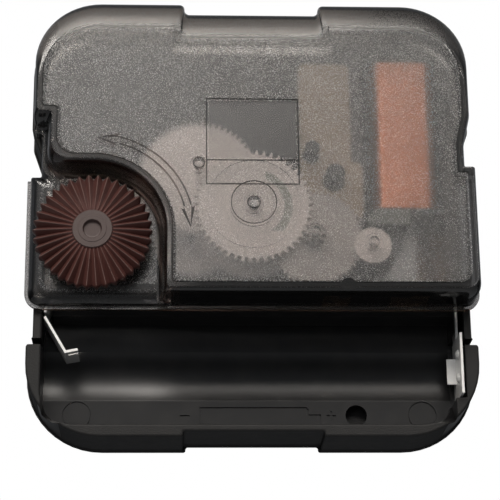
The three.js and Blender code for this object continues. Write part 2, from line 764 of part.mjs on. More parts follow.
// Second wheel with its pinion, pressed on the long second shaft
function secondWheel() {
  const bore = secondShaftRadius + fitGap / 3;
  const pinionFront = thirdLevel - pinionOverhang;
  return joined(
    prism(gearOutline(teeth.secondWheel, secondModule), secondLevel, secondLevel + wheelThickness,
      [circlePoints(bore, smallRoundSteps)]),
    prism(gearOutline(teeth.secondPinion, thirdModule), pinionFront, secondLevel + pinionOverhang,
      [circlePoints(bore, smallRoundSteps)]));
}
addPiece('second_wheel', secondWheel(), 'wheelPlastic', centre, turns.second);
addPiece('second_shaft', disc(secondShaftRadius, -secondShaftLength, pivotRearTip, centre, smallRoundSteps),
  'steel', centre, turns.second);

// Centre wheel, gripping the minute tube by friction
addPiece('centre_wheel', joined(
  prism(gearOutline(teeth.centreWheel, centreModule), centreLevel, centreLevel + wheelThickness,
    [circlePoints(minuteTubeRadius + fitGap, smallRoundSteps)]),
  ring(minuteTubeRadius + fitGap + hubRadius / 2, minuteTubeRadius + fitGap, centreLevel - pinionOverhang,
    centreLevel + wheelThickness + pinionOverhang, centre, smallRoundSteps)),
'wheelPlastic', centre, turns.centre);

// Minute tube with the cannon pinion and two flats for the hand
function minuteTube() {
  const bore = minuteTubeRadius - minuteTubeWall;
  const tube = joined(
    prism(gearOutline(teeth.cannonPinion, settingModule), minuteLevel - pinionOverhang,
      minuteLevel + wheelThickness + pinionOverhang, [circlePoints(bore, smallRoundSteps)]),
    ring(minuteTubeRadius, bore, -minuteTubeLength, centreLevel + wheelThickness + pinionOverhang,
      centre, smallRoundSteps * 2));
  const flatLength = minuteTubeLength - hourTubeLength;
  const flats = [-1, 1].map((sign) => block(
    Math.min(sign * (minuteTubeRadius - minuteFlatDepth), sign * stemRadius),
    Math.max(sign * (minuteTubeRadius - minuteFlatDepth), sign * stemRadius),
    -stemRadius, stemRadius, -minuteTubeLength - overrun, flatLength - minuteTubeLength));
  return cut(tube, ...flats);
}
addPiece('minute_shaft', minuteTube(), 'brass', centre, turns.cannon);

// Hour wheel and its tube
addPiece('hour_wheel', joined(
  prism(gearOutline(teeth.hourWheel, hourModule), hourLevel, hourLevel + wheelThickness,
    [circlePoints(hourTubeRadius - hourTubeWall, roundSteps)]),
  ring(hourTubeRadius, hourTubeRadius - hourTubeWall, -hourTubeLength, hourLevel + wheelThickness)),
'wheelPlastic', centre, turns.hour);

// Minute wheel with its pinion, turning on a post of the case
function minuteWheel() {
  const bore = circlePoints(postRadius + postFit, smallRoundSteps);
  return joined(
    prism(gearOutline(teeth.minuteWheel, settingModule), minuteLevel, minuteLevel + wheelThickness, [bore]),
    prism(gearOutline(teeth.minutePinion, hourModule), hourLevel - pinionOverhang,
      minuteLevel + pinionOverhang, [bore]));
}
addPiece('minute_wheel', minuteWheel(), 'wheelPlastic', minuteCentre, turns.minuteWheel);

// Setting idler on its post
addPiece('setting_idler', prism(gearOutline(teeth.idler, settingModule), minuteLevel,
  minuteLevel + wheelThickness, [circlePoints(postRadius + postFit, smallRoundSteps)]),
'wheelPlastic', idlerCentre, turns.idler);

// Setting gear, pressed on the knob's shaft
addPiece('setting_gear', prism(gearOutline(teeth.knobGear, settingModule), minuteLevel,
  minuteLevel + wheelThickness, [circlePoints(knobShaftRadius + fitGap, roundSteps)]),
'wheelPlastic', knobCentre, turns.knob);

// Setting knob: radial ribs from the hub to a serrated edge
function settingKnob() {
  const hubTop = knobRear + knobHubRise;
  const positions = [0, 0, hubTop];
  const indices = [];
  const spokes = knobRibs * 2;
  const pointsPerSpoke = 4;
  for (let spoke = 0; spoke < spokes; spoke += 1) {
    const angle = 2 * Math.PI * spoke / spokes;
    const groove = spoke % 2;
    const reach = knobRadius - groove * ribDepth;
    const c = Math.cos(angle);
    const s = Math.sin(angle);
    positions.push(c * knobHubRadius, s * knobHubRadius, hubTop);
    positions.push(c * knobHubRadius, s * knobHubRadius, knobRear - groove * grooveStartDepth);
    positions.push(c * reach, s * reach, knobEdgeRear - groove * grooveDepth);
    positions.push(c * reach, s * reach, knobFront);
  }
  const last = positions.length / 3;
  positions.push(0, 0, knobFront);
  for (let spoke = 0; spoke < spokes; spoke += 1) {
    const here = 1 + spoke * pointsPerSpoke;
    const next = 1 + ((spoke + 1) % spokes) * pointsPerSpoke;
    indices.push(0, here, next);
    for (let row = 0; row + 1 < pointsPerSpoke; row += 1) {
      indices.push(here + row, here + row + 1, next + row + 1);
      indices.push(here + row, next + row + 1, next + row);
    }
    indices.push(last, next + pointsPerSpoke - 1, here + pointsPerSpoke - 1);
  }
  const ribbed = new THREE.BufferGeometry();
  ribbed.setAttribute('position', new THREE.Float32BufferAttribute(positions, 3));
  ribbed.setIndex(indices);
  const body = joined(ribbed,
    disc(knobCollarRadius, pocketFloor + fitGap, knobFront + overrun / 2),
    disc(knobShaftRadius, pivotTip, knobFront + overrun / 2));
  return cut(body, disc(knobDimpleRadius, hubTop - knobDimpleDepth, coverTop));
}
addPiece('setting_knob', settingKnob(), 'knobPlastic', knobCentre);

// Stator holder: a plate over the long leg of the stator
function statorHolder() {
  const { left, upperRight, lowerRight } = holderSpan;
  const { low, step, top } = holderHeights;
  const outline = roundedOutline([
    [left, low, holderCornerRadius],
    [lowerRight, low, holderCornerRadius],
    [lowerRight, step, holderCornerRadius],
    [upperRight, step, holderCornerRadius / 2],
    [upperRight, top, holderCornerRadius],
    [left, top, holderCornerRadius],
  ].map((corner) => corner.map((length) => length * planShare)));
  const holes = holderPosts.map((place, index) => circlePoints(holderPostRadii[index] + fitGap,
    smallRoundSteps, place));
  return prism(outline, holderFront, holderFront + holderThickness, holes);
}
addPiece('stator_holder', statorHolder(), 'bobbinPlastic');

// Rotor: a ring magnet on a pinion with its own pivots
function rotorPinion() {
  const pinionFront = intermediateLevel - pinionOverhang;
  return joined(
    prism(gearOutline(teeth.rotorPinion, rotorModule), pinionFront,
      intermediateLevel + wheelThickness + pinionOverhang),
    disc(magnetBore - fitGap, magnetFront - fitGap, pinionFront + fitGap, centre, smallRoundSteps),
    disc(magnetBore - fitGap, intermediateLevel, rotorCapFront + fitGap, centre, smallRoundSteps),
    disc(rotorCapRadius, rotorCapFront, rotorCapFront + rotorCapThickness),
    disc(pivotRadius, pivotTip, pivotRearTip, centre, smallRoundSteps));
}
addPiece('rotor_pinion', rotorPinion(), 'wheelPlastic', rotorCentre, turns.rotor);
addPiece('rotor_magnet', ring(magnetRadius, magnetBore, magnetFront, magnetFront + magnetThickness),
  'ferrite', rotorCentre, turns.rotor);

// Stator: a long leg from the top of the core and a short leg from its foot
function statorPlates() {
  const front = coilDepth - statorThickness / 2;
  const rear = coilDepth + statorThickness / 2;
  const halfLeg = statorLegWidth / 2;
  const bore = disc(magnetRadius + airGap, front - overrun, rear + overrun, rotorCentre);
  const leftEdge = statorLegAcross - halfLeg;
  const poleReach = magnetRadius + airGap + statorPoleWidth;
  const long = cut(joined(
    block(leftEdge, coilAcross + coreHalfWidth, statorYokeHeight - statorLegWidth, statorYokeHeight, front, rear),
    block(leftEdge, leftEdge + statorLegWidth, statorShoulder - overrun / 2, statorYokeHeight, front, rear),
    block(rotorCentre.x - poleReach, rotorCentre.x - airGap / 2, statorFoot, statorShoulder, front, rear)), bore);
  const short = cut(joined(
    block(rotorCentre.x + airGap / 2, coilAcross + coreHalfWidth, statorFoot, statorShoulder, front, rear),
    block(coilAcross - coreHalfWidth, coilAcross + coreHalfWidth, statorShoulder - overrun,
      statorYokeHeight - statorLegWidth - fitGap, front, rear)), bore);
  return { long, short };
}
const stator = statorPlates();
addPiece('stator_long_leg', stator.long, 'steel');
addPiece('stator_core', stator.short, 'steel');

// Bobbin: a square tube between two flanges, with a rounded block for the wire ends
function coilBobbin() {
  const innerHalf = coreHalfWidth + fitGap;
  const innerDepth = statorThickness / 2 + fitGap;
  const outerHalf = innerHalf + bobbinWall;
  const outerDepth = innerDepth + bobbinWall;
  const flangeHalf = windingHalfWidth + bobbinFlangeReach;
  const flangeDepth = windingHalfDepth + bobbinFlangeReach;
  const flange = (low) => block(coilAcross - flangeHalf, coilAcross + flangeHalf, low, low + bobbinFlange,
    coilDepth - flangeDepth, coilDepth + flangeDepth);
  const blockFront = magnetFront + magnetThickness + fitGap;
  const blockLeft = coilAcross - flangeHalf - bobbinBlockShift;
  const blockLow = coilLow - bobbinFlange - bobbinBlockLength;
  const blockHigh = coilLow - bobbinFlange * 3 / 4;
  const wireBlock = roundedOutline([
    [blockLeft, blockLow, 0],
    [blockLeft + bobbinBlockWidth, blockLow, 0],
    [blockLeft + bobbinBlockWidth, blockHigh, 0],
    [blockLeft, blockHigh, bobbinBlockRadius],
  ]);
  return cut(joined(
    block(coilAcross - outerHalf, coilAcross + outerHalf, coilLow - bobbinFlange / 2,
      coilHigh + bobbinFlange / 2, coilDepth - outerDepth, coilDepth + outerDepth),
    flange(coilLow - bobbinFlange),
    flange(coilHigh),
    prism(wireBlock, blockFront, blockFront + bobbinBlockThickness)),
  block(coilAcross - innerHalf, coilAcross + innerHalf, coilLow - bobbinFlange - overrun,
    coilHigh + bobbinFlange + overrun, coilDepth - innerDepth, coilDepth + innerDepth));
}
addPiece('coil_bobbin', coilBobbin(), 'bobbinPlastic');

// Outline of one turn of wire, in the plane across the coil
function turnOutline(halfWidth, halfDepth, radius) {
  const step = stepsPerLoop / 4;
  const places = [[1, 1], [-1, 1], [-1, -1], [1, -1]];
  return places.flatMap(([signX, signZ], corner) => Array.from({ length: step }, (_, index) => {
    const angle = Math.PI / 2 * (corner + index / (step - 1));
    return new THREE.Vector2(signX * (halfWidth - radius) + Math.cos(angle) * radius,
      signZ * (halfDepth - radius) + Math.sin(angle) * radius);
  }));
}

// Inner winding as a plain core, with the outer layer of turns laid over it
function windingCore() {
  const shrink = 2 * wireRadius + fitGap;
  const outer = turnOutline(windingHalfWidth - shrink, windingHalfDepth - shrink, windingRadius - shrink);
  const innerHalf = coreHalfWidth + fitGap + bobbinWall + fitGap;
  const innerDepth = statorThickness / 2 + fitGap + bobbinWall + fitGap;
  const hole = [[1, 1], [-1, 1], [-1, -1], [1, -1]].map(([signX, signZ]) => new THREE.Vector2(
    signX * innerHalf, signZ * innerDepth));
  const geometry = prism(outer, coilLow + fitGap, coilHigh - fitGap, [hole]);
  return geometry.rotateX(-Math.PI / 2).rotateY(Math.PI).translate(coilAcross, 0, coilDepth);
}
addPiece('coil_winding_core', windingCore(), 'copper');

function outerLayer() {
  const centreLine = turnOutline(windingHalfWidth - wireRadius, windingHalfDepth - wireRadius,
    windingRadius - wireRadius);
  const first = coilLow + fitGap + 2 * wireRadius;
  const last = coilHigh - fitGap - 2 * wireRadius;
  const pitch = (last - first) / windingLoops;
  const path = [];
  for (let step = 0; step <= windingLoops * stepsPerLoop; step += 1) {
    const point = centreLine[step % stepsPerLoop];
    const before = centreLine[(step + stepsPerLoop - 1) % stepsPerLoop];
    const after = centreLine[(step + 1) % stepsPerLoop];
    const along = after.clone().sub(before).normalize();
    path.push({
      place: new THREE.Vector3(point.x, first + pitch * step / stepsPerLoop, point.y),
      outward: new THREE.Vector3(along.y, 0, -along.x),
      along: new THREE.Vector3(along.x, 0, along.y),
    });
  }
  const runOut = 2 * wireRadius;
  const head = path[0];
  const tail = path[path.length - 1];
  path.unshift({ ...head, place: head.place.clone().addScaledVector(head.along, -runOut) });
  path.push({ ...tail, place: tail.place.clone().addScaledVector(tail.along, runOut) });
  console.log(`least gap between turns ${leastGap(path).toFixed(3)} mm`);
  const positions = [];
  const indices = [];
  const axis = new THREE.Vector3(0, 1, 0);
  path.forEach(({ place, outward }) => {
    for (let side = 0; side < wireSides; side += 1) {
      const angle = 2 * Math.PI * side / wireSides;
      const point = place.clone().addScaledVector(outward, Math.cos(angle) * wireRadius)
        .addScaledVector(axis, Math.sin(angle) * wireRadius);
      positions.push(point.x + coilAcross, point.y, point.z + coilDepth);
    }
  });
  for (let row = 0; row + 1 < path.length; row += 1) {
    for (let side = 0; side < wireSides; side += 1) {
      const here = row * wireSides + side;
      const next = row * wireSides + (side + 1) % wireSides;
      indices.push(here, next, next + wireSides, here, next + wireSides, here + wireSides);
    }
  }
  const lastRow = (path.length - 1) * wireSides;
  for (let side = 1; side + 1 < wireSides; side += 1) {
    indices.push(0, side + 1, side, lastRow, lastRow + side, lastRow + side + 1);
  }
  const geometry = new THREE.BufferGeometry();
  geometry.setAttribute('position', new THREE.Float32BufferAttribute(positions, 3));
  geometry.setIndex(indices);
  return geometry;
}

// The least gap of the wire to itself, between points at least half a turn apart
function leastGap(path) {
  let least = Infinity;
  path.forEach(({ place }, index) => {
    for (let other = index + stepsPerLoop / 2; other < path.length; other += 1) {
      least = Math.min(least, place.distanceTo(path[other].place) - 2 * wireRadius);
    }
  });
  return least;
}
addPiece('coil_outer_layer', outerLayer(), 'copper');

// Circuit board with its chip and crystal
const board = roundedOutline([
  [boardLeft, boardLow, outlineRadius],
  [boardRight, boardLow, outlineRadius],
  [boardRight, boardBlockTop, outlineRadius],
  [boardBlockLeft, boardBlockTop, outlineRadius],
  [boardBlockLeft, boardStripTop, outlineRadius],
  [boardLeft, boardStripTop, outlineRadius],
]);
addPiece('circuit_board', prism(board, boardFront, boardFront + boardThickness), 'board');
const boardRear = boardFront + boardThickness + fitGap;
addPiece('chip_blob', stacked([
  { outline: circlePoints(chipRadius, roundSteps, chipPlace), depth: boardRear },
  { outline: circlePoints(chipRadius * Math.cos(Math.PI / 8), roundSteps, chipPlace), depth: boardRear + chipHeight / 2 },
  { outline: circlePoints(chipRadius / 2, roundSteps, chipPlace), depth: boardRear + chipHeight },
]), 'epoxy');
addPiece('quartz_crystal', rodAcross(crystalRadius, crystalPlace.x - crystalLength / 2,
  crystalPlace.x + crystalLength / 2, crystalPlace.y, boardRear + crystalRadius, roundSteps), 'nickel');

// A bent strip of sheet standing on edge, from its centre line seen from behind
function bentStrip(line, front, rear) {
  const half = stripThickness / 2;
  const sideOf = (sign) => line.map((point, index) => {
    const before = line[Math.max(index - 1, 0)];
    const after = line[Math.min(index + 1, line.length - 1)];
    const incoming = point.clone().sub(before).normalize();
    const outgoing = after.clone().sub(point).normalize();
    const along = incoming.clone().add(outgoing).normalize();
    const widen = 1 / Math.max(along.dot(index === 0 ? outgoing : incoming), half);
    return point.clone().add(new THREE.Vector2(-along.y, along.x).multiplyScalar(sign * half * widen));
  });
  return prism([...sideOf(-1), ...sideOf(1).reverse()], front, rear);
}

// Negative contact: the strip held in the case, and the leaf that springs in the bay
const anchorTurn = new THREE.Vector2(leafRoot.x + stripThickness / 2, bayTop + bayWallThickness / 2);
addPiece('negative_contact_anchor', joined(
  bentStrip([
    new THREE.Vector2(leafRoot.x, leafRoot.y + 2 * fitGap),
    anchorTurn,
    new THREE.Vector2(anchorCorner, anchorHeight + fitGap),
    new THREE.Vector2(anchorCorner + slotWidth, anchorHeight),
  ], stripFront, rimDepth),
  bentStrip([
    new THREE.Vector2(anchorCorner + slotWidth / 2, anchorHeight),
    new THREE.Vector2(anchorEnd, anchorHeight),
  ], stripFront, anchorFront)), 'nickel');

function contactLeaf() {
  const pad = new THREE.Vector2(leafTip.x + leafPadLength, leafTip.y + stripThickness);
  const blade = bentStrip([leafRoot, leafTip, pad], stripFront, stripRear);
  return cut(blade, block(leafTip.x + stripThickness, pad.x + overrun, leafTip.y - overrun, pad.y + overrun,
    leafProngSplit, leafProngSplit + leafProngGap));
}
addPiece('negative_contact_leaf', contactLeaf(), 'nickel');

// Positive contact: upright plate with two dimples, a bent tongue and a tail to the board
function positiveContact() {
  const high = batteryHeight + plateHalfWidth;
  const tailLeft = contactSlotRight - slotWidth + fitGap;
  const plate = block(plateAcross, plateAcross + stripThickness, batteryHeight - plateHalfWidth, high,
    bayFloor + fitGap, plateRear);
  const tail = block(plateAcross, plateAcross + stripThickness, high - overrun, contactTailTop,
    stripFront, boardRear + crystalRadius);
  const foot = block(tailLeft - slotWidth, plateAcross + stripThickness, contactTailTop - stripThickness,
    contactTailTop, boardRear, boardRear + crystalRadius);
  const tongue = block(plateAcross - tongueReach, plateAcross + stripThickness / 2,
    batteryHeight - tongueHalfWidth, batteryHeight + tongueHalfWidth, tongueDepth, tongueDepth + stripThickness);
  const dimples = [-1, 1].map((sign) => {
    const geometry = new THREE.SphereGeometry(dimpleRadius, smallRoundSteps, smallRoundSteps / 2);
    const sunk = dimpleRadius - dimpleHeight;
    return geometry.translate(plateAcross + sunk, batteryHeight + sign * dimpleSpacing, rimDepth - dimpleRadius);
  });
  const behind = block(plateAcross + stripThickness, contactSlotRight + overrun, batteryHeight - plateHalfWidth,
    high, 0, coverTop);
  return cut(joined(plate, tail, foot, tongue, ...dimples), behind);
}
addPiece('positive_contact', positiveContact(), 'nickel');

export default movement;
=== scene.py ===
import json
import math
import bmesh
import bpy
import numpy as np
from mathutils import Matrix, Vector


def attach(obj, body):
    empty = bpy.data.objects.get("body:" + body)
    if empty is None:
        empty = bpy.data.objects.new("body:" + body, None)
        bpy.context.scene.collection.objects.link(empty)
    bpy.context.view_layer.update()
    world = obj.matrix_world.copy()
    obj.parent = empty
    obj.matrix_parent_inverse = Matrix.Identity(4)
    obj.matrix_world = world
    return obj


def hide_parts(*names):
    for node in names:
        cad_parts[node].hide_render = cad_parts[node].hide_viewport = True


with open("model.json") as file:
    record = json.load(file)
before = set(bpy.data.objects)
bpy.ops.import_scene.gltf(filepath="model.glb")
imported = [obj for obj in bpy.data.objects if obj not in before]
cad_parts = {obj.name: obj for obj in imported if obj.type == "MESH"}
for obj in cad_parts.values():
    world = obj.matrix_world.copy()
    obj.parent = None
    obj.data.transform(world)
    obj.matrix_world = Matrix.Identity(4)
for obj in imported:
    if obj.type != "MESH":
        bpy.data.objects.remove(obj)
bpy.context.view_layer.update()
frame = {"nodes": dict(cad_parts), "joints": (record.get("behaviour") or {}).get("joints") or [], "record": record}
mm = 0.001
weldGap = 1e-7       # metres between points that become one
leastRadius = 0.03   # millimetres, for a corner that stays sharp to the eye
shadingWeight = 90   # how far large faces lead the shading of an edge
fewSteps, someSteps, manySteps = 48, 64, 96   # round a small, a middling or a large circle
print("frame loaded")

# where the turning pieces stand, in millimetres across and up
wheelPlaces = {joint["child"]: (joint["pos_m"][0] / mm, joint["pos_m"][2] / mm)
               for joint in frame["joints"] if joint.get("continuous")}
knobPlace = wheelPlaces["knob"]


def unit(arrows):
    # every arrow keeps its way and gets the length of one
    return arrows / np.linalg.norm(arrows, axis=1)[:, None]


# Outlines are drawn as seen from behind: x to the right, y up, and a depth
# that grows from the dial towards the rear cover.
def roundedOutline(corners, steps=12):
    # every corner [x, y, radius] becomes an arc between its two tangent points
    spec = np.array(corners, float)
    point, radius = spec[:, :2], np.maximum(spec[:, 2], leastRadius)
    before, after = (unit(np.roll(point, way, 0) - point) for way in (1, -1))
    half = np.arccos(np.clip((before * after).sum(1), -1, 1)) / 2
    middle = point + unit(before + after) * (radius / np.sin(half))[:, None]
    tangent = (radius / np.tan(half))[:, None]
    start, end = (point + way * tangent - middle for way in (before, after))
    angle = np.arctan2(start[:, 1], start[:, 0])
    turn = np.arctan2(end[:, 1], end[:, 0]) - angle
    turn -= np.round(turn / (2 * np.pi)) * 2 * np.pi
    along = angle[:, None] + turn[:, None] * np.linspace(0, 1, steps + 1)
    arc = np.stack([np.cos(along), np.sin(along)], 2) * radius[:, None, None]
    return (middle[:, None, :] + arc).reshape(-1, 2)


def mirrored(half):
    # a right-hand run of corners, followed by its mirror image
    return half + [[-x, y, r] for x, y, r in reversed(half)]


def easing(steps):
    # a quarter circle: how far in and how high it has come after each step
    angle = np.linspace(0, np.pi / 2, steps + 1)
    return list(zip(1 - np.cos(angle), np.sin(angle)))


def linked(name, mesh):
    # the mesh becomes an object of the scene
    piece = bpy.data.objects.new(name, mesh)
    bpy.context.scene.collection.objects.link(piece)
    return piece


def gridFaces(rows, columns, closed=False):
    # quads of a grid whose columns close on themselves; then either its last row is
    # joined to its first, or each end has one flat face
    row = np.arange(rows - 1)[:, None] * columns
    here = np.arange(columns)[None, :]
    there = (here + 1) % columns
    quads = np.stack([row + here, row + there, row + columns + there, row + columns + here], 2)
    last = (rows - 1) * columns
    if closed:
        ends = np.stack([last + here, last + there, there, here], 2)[0].tolist()
    else:
        ends = [list(range(columns))[::-1], list(range(last, rows * columns))]
    return quads.reshape(-1, 4).tolist() + ends


def gridMesh(name, grid, closed=False):
    # rows and columns of points in millimetres, joined by faces
    mesh = bpy.data.meshes.new(name)
    mesh.from_pydata((grid.reshape(-1, 3) * mm).tolist(), [], gridFaces(*grid.shape[:2], closed))
    return mesh


def meshFrom(name, grid, closed=False):
    # equal points are welded and every face is turned outward
    mesh = gridMesh(name, grid, closed)
    shape = bmesh.new()
    shape.from_mesh(mesh)
    bmesh.ops.remove_doubles(shape, verts=shape.verts, dist=weldGap)
    bmesh.ops.recalc_face_normals(shape, faces=shape.faces)
    shape.to_mesh(mesh)
    shape.free()
    return linked(name, mesh)


def lofted(name, levels):
    # a wall through outlines of equal count at growing depths, closed by both end faces
    return meshFrom(name, np.array([
        np.column_stack([line[:, 0], np.full(len(line), -depth), line[:, 1]])
        for line, depth in levels]))


def prism(name, outline, front, rear):
    # one outline carried straight from its front depth to its rear depth
    return lofted(name, [(outline, front), (outline, rear)])


def slab(name, left, right, low, high, front, rear, radius=leastRadius):
    # a block between six sides, with its four upright edges rounded
    corners = [[left, low, radius], [right, low, radius],
               [right, high, radius], [left, high, radius]]
    return prism(name, roundedOutline(corners, steps=4), front, rear)


def turned(name, profile, middle=(0, 0), steps=manySteps, closed=False):
    # pairs of radius and depth, spun about an axis that runs along the depth
    line = np.array(profile, float)
    angle = np.arange(steps) * 2 * np.pi / steps
    x = line[:, :1] * np.cos(angle) + middle[0]
    y = line[:, :1] * np.sin(angle) + middle[1]
    return meshFrom(name, np.stack([x, np.broadcast_to(-line[:, 1:], x.shape), y], 2), closed)


def disc(name, radius, front, rear, middle=(0, 0), steps=manySteps):
    # a bar of one radius between two depths
    return turned(name, [(radius, front), (radius, rear)], middle, steps)


def ring(name, radius, width, front, rear, middle=(0, 0), steps=manySteps):
    # a square-edged ring that grows outward from its inner radius
    outer = radius + width
    profile = [(radius, front), (radius, rear), (outer, rear), (outer, front)]
    return turned(name, profile, middle, steps, True)


def carved(piece, cutters=(), joins=()):
    # joins are added to the piece, then cutters are taken out of it
    for operation, tools in (("UNION", joins), ("DIFFERENCE", cutters)):
        for tool in tools:
            step = piece.modifiers.new(operation.lower(), "BOOLEAN")
            step.operation, step.object, step.solver = operation, tool, "MANIFOLD"
    graph = bpy.context.evaluated_depsgraph_get()
    mesh = bpy.data.meshes.new_from_object(piece.evaluated_get(graph))
    piece.modifiers.clear()
    piece.data = mesh
    for tool in [*joins, *cutters]:
        bpy.data.objects.remove(tool)
    return piece


replacedNodes = set()


def finished(piece, body, slotName, replaces, sharp=30):
    # smooth faces, sharp where they meet at more than so many degrees; then the piece rides
    mesh = piece.data
    mesh.materials.clear()
    mesh.materials.append(looks[slotName])
    mesh.polygons.foreach_set("use_smooth", np.ones(len(mesh.polygons), bool))
    mesh.polygons.foreach_set("material_index", np.zeros(len(mesh.polygons), np.int32))
    mesh.set_sharp_from_angle(angle=math.radians(sharp))
    weigh = piece.modifiers.new("even shading", "WEIGHTED_NORMAL")
    weigh.keep_sharp = True
    weigh.weight = shadingWeight
    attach(piece, body)
    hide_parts(*replaces)
    replacedNodes.update(replaces)


# the mix node keeps its two colours and its mixed colour at these places
mixSockets, mixColour = (6, 7), 2


# Materials: a wire is a socket that can be added, multiplied and compared
class Wire:
    def __init__(self, nodes, socket):
        self.nodes, self.socket = nodes, socket

    def maths(self, operation, *others):
        # this wire and the others, worked out by one node
        numbered = dict(enumerate((self, *others)))
        return self.nodes.node("ShaderNodeMath", numbered, operation=operation)

    def __add__(self, other): return self.maths("ADD", other)
    def __mul__(self, other): return self.maths("MULTIPLY", other)
    def __sub__(self, other): return self.maths("SUBTRACT", other)
    def __abs__(self): return self.maths("ABSOLUTE")
    def __gt__(self, other): return self.maths("GREATER_THAN", other)
    def __lt__(self, other): return self.maths("LESS_THAN", other)
    __radd__, __rmul__ = __add__, __mul__

    def __rsub__(self, other):
        return self.nodes.node("ShaderNodeMath", {0: other, 1: self}, operation="SUBTRACT")


class Nodes:
    # the node tree of a material or of the room
    def __init__(self, block):
        block.use_nodes = True
        self.tree = block.node_tree

    def node(self, kind, inputs=(), output=0, **settings):
        # inputs are wires or plain values; the wire of one output comes back
        made = self.tree.nodes.new(kind)
        for key, value in settings.items():
            setattr(made, key, value)
        for key, value in dict(inputs).items():
            if isinstance(value, Wire):
                self.tree.links.new(value.socket, made.inputs[key])
            else:
                made.inputs[key].default_value = value
        return Wire(self, made.outputs[output])

    def axes(self, vector):
        # the three parts of a vector, each as a wire
        parts = self.node("ShaderNodeSeparateXYZ", {0: vector}).socket.node
        return [Wire(self, output) for output in parts.outputs]


class Finish(Nodes):
    # one material; across, depth and height are the place on the part in millimetres
    def __init__(self, name, **constants):
        self.material = bpy.data.materials.new(name)
        super().__init__(self.material)
        self.shader = self.tree.nodes["Principled BSDF"]
        for socket, value in constants.items():
            self.shader.inputs[socket.replace("_", " ")].default_value = value
        self.place = self.node("ShaderNodeTexCoord", output="Object")
        x, y, z = self.axes(self.place)
        self.across, self.depth, self.height = x * (1 / mm), y * (-1 / mm), z * (1 / mm)

    def noise(self, scale, detail=3, stretch=(1, 1, 1)):
        # values that drift round a half, so many waves to the metre
        where = self.node("ShaderNodeMapping", {"Vector": self.place, "Scale": stretch})
        return self.node("ShaderNodeTexNoise", {
            "Vector": where, "Scale": scale, "Detail": detail})

    def between(self, value, low, high):
        # 1 where the value lies between low and high, else 0
        return (value > low) * (value < high)

    def ease(self, value, low, high):
        # the value's place between low and high, from 0 to 1, smoothed at both ends
        return self.node("ShaderNodeMapRange", {
            "Value": value, "From Min": low, "From Max": high}, interpolation_type="SMOOTHSTEP")

    def mixed(self, share, first, second):
        # two colours, each a wire or red, green and blue, mixed by a share
        first, second = (c if isinstance(c, Wire) else (*c, 1) for c in (first, second))
        return self.node("ShaderNodeMix", {
            0: share, mixSockets[0]: first, mixSockets[1]: second}, mixColour, data_type="RGBA")

    def set(self, socket, value):
        # the wire runs to an input of the shader
        self.tree.links.new(value.socket, self.shader.inputs[socket])

    def bump(self, height, strength, distance):
        # the slope of a height tilts the shading
        self.set("Normal", self.node("ShaderNodeBump", {
            "Strength": strength, "Distance": distance, "Height": height}))


# In these settings colours are linear, scales count waves in a metre, and bands are pairs of
# places in millimetres; rough and coat give a plain value followed by what is added to it.
caseLook = {
    "specular": 0.3, "coatRough": 0.34, "bayAcross": (-26.1, 26.1), "bayDepth": (0.6, 7.1),
    "bayHeight": (-26.2, -12), "cloud": 420, "cloudBand": (0.35, 0.7), "grain": 5200, "wear": 900,
    "deep": (0.004, 0.004, 0.0045), "soft": (0.0085, 0.008, 0.008), "pale": (0.021, 0.0205, 0.020),
    "rim": (7.05, 7.25), "rimShare": 0.6, "dialSide": 0.05, "rough": (0.52, -0.24, 0.10),
    "bayCoat": 0.7, "baySmooth": 0.9, "bump": (0.5, 0.00007),
}


def casePlastic():
    # grained black outside, a smoother and glossier battery bay inside
    s = caseLook
    f = Finish("casePlastic", Specular_IOR_Level=s["specular"], Coat_Roughness=s["coatRough"])
    bay = (f.between(f.height, *s["bayHeight"]) * f.between(f.depth, *s["bayDepth"])
           * f.between(f.across, *s["bayAcross"]))
    tone = f.mixed(f.ease(f.noise(s["cloud"], 4), *s["cloudBand"]), s["deep"], s["soft"])
    # the rim and the dial side are paler
    flat = f.ease(f.depth, *s["rim"]) * s["rimShare"] + (f.depth < s["dialSide"])
    f.set("Base Color", f.mixed(flat, tone, s["pale"]))
    rough, inBay, wearAndSheen = s["rough"]
    f.set("Roughness", rough + bay * inBay + f.noise(s["wear"]) * wearAndSheen)
    f.set("Coat Weight", bay * s["bayCoat"])
    f.bump(f.noise(s["grain"], 2) * (1 - bay * s["baySmooth"]), *s["bump"])
    return f.material


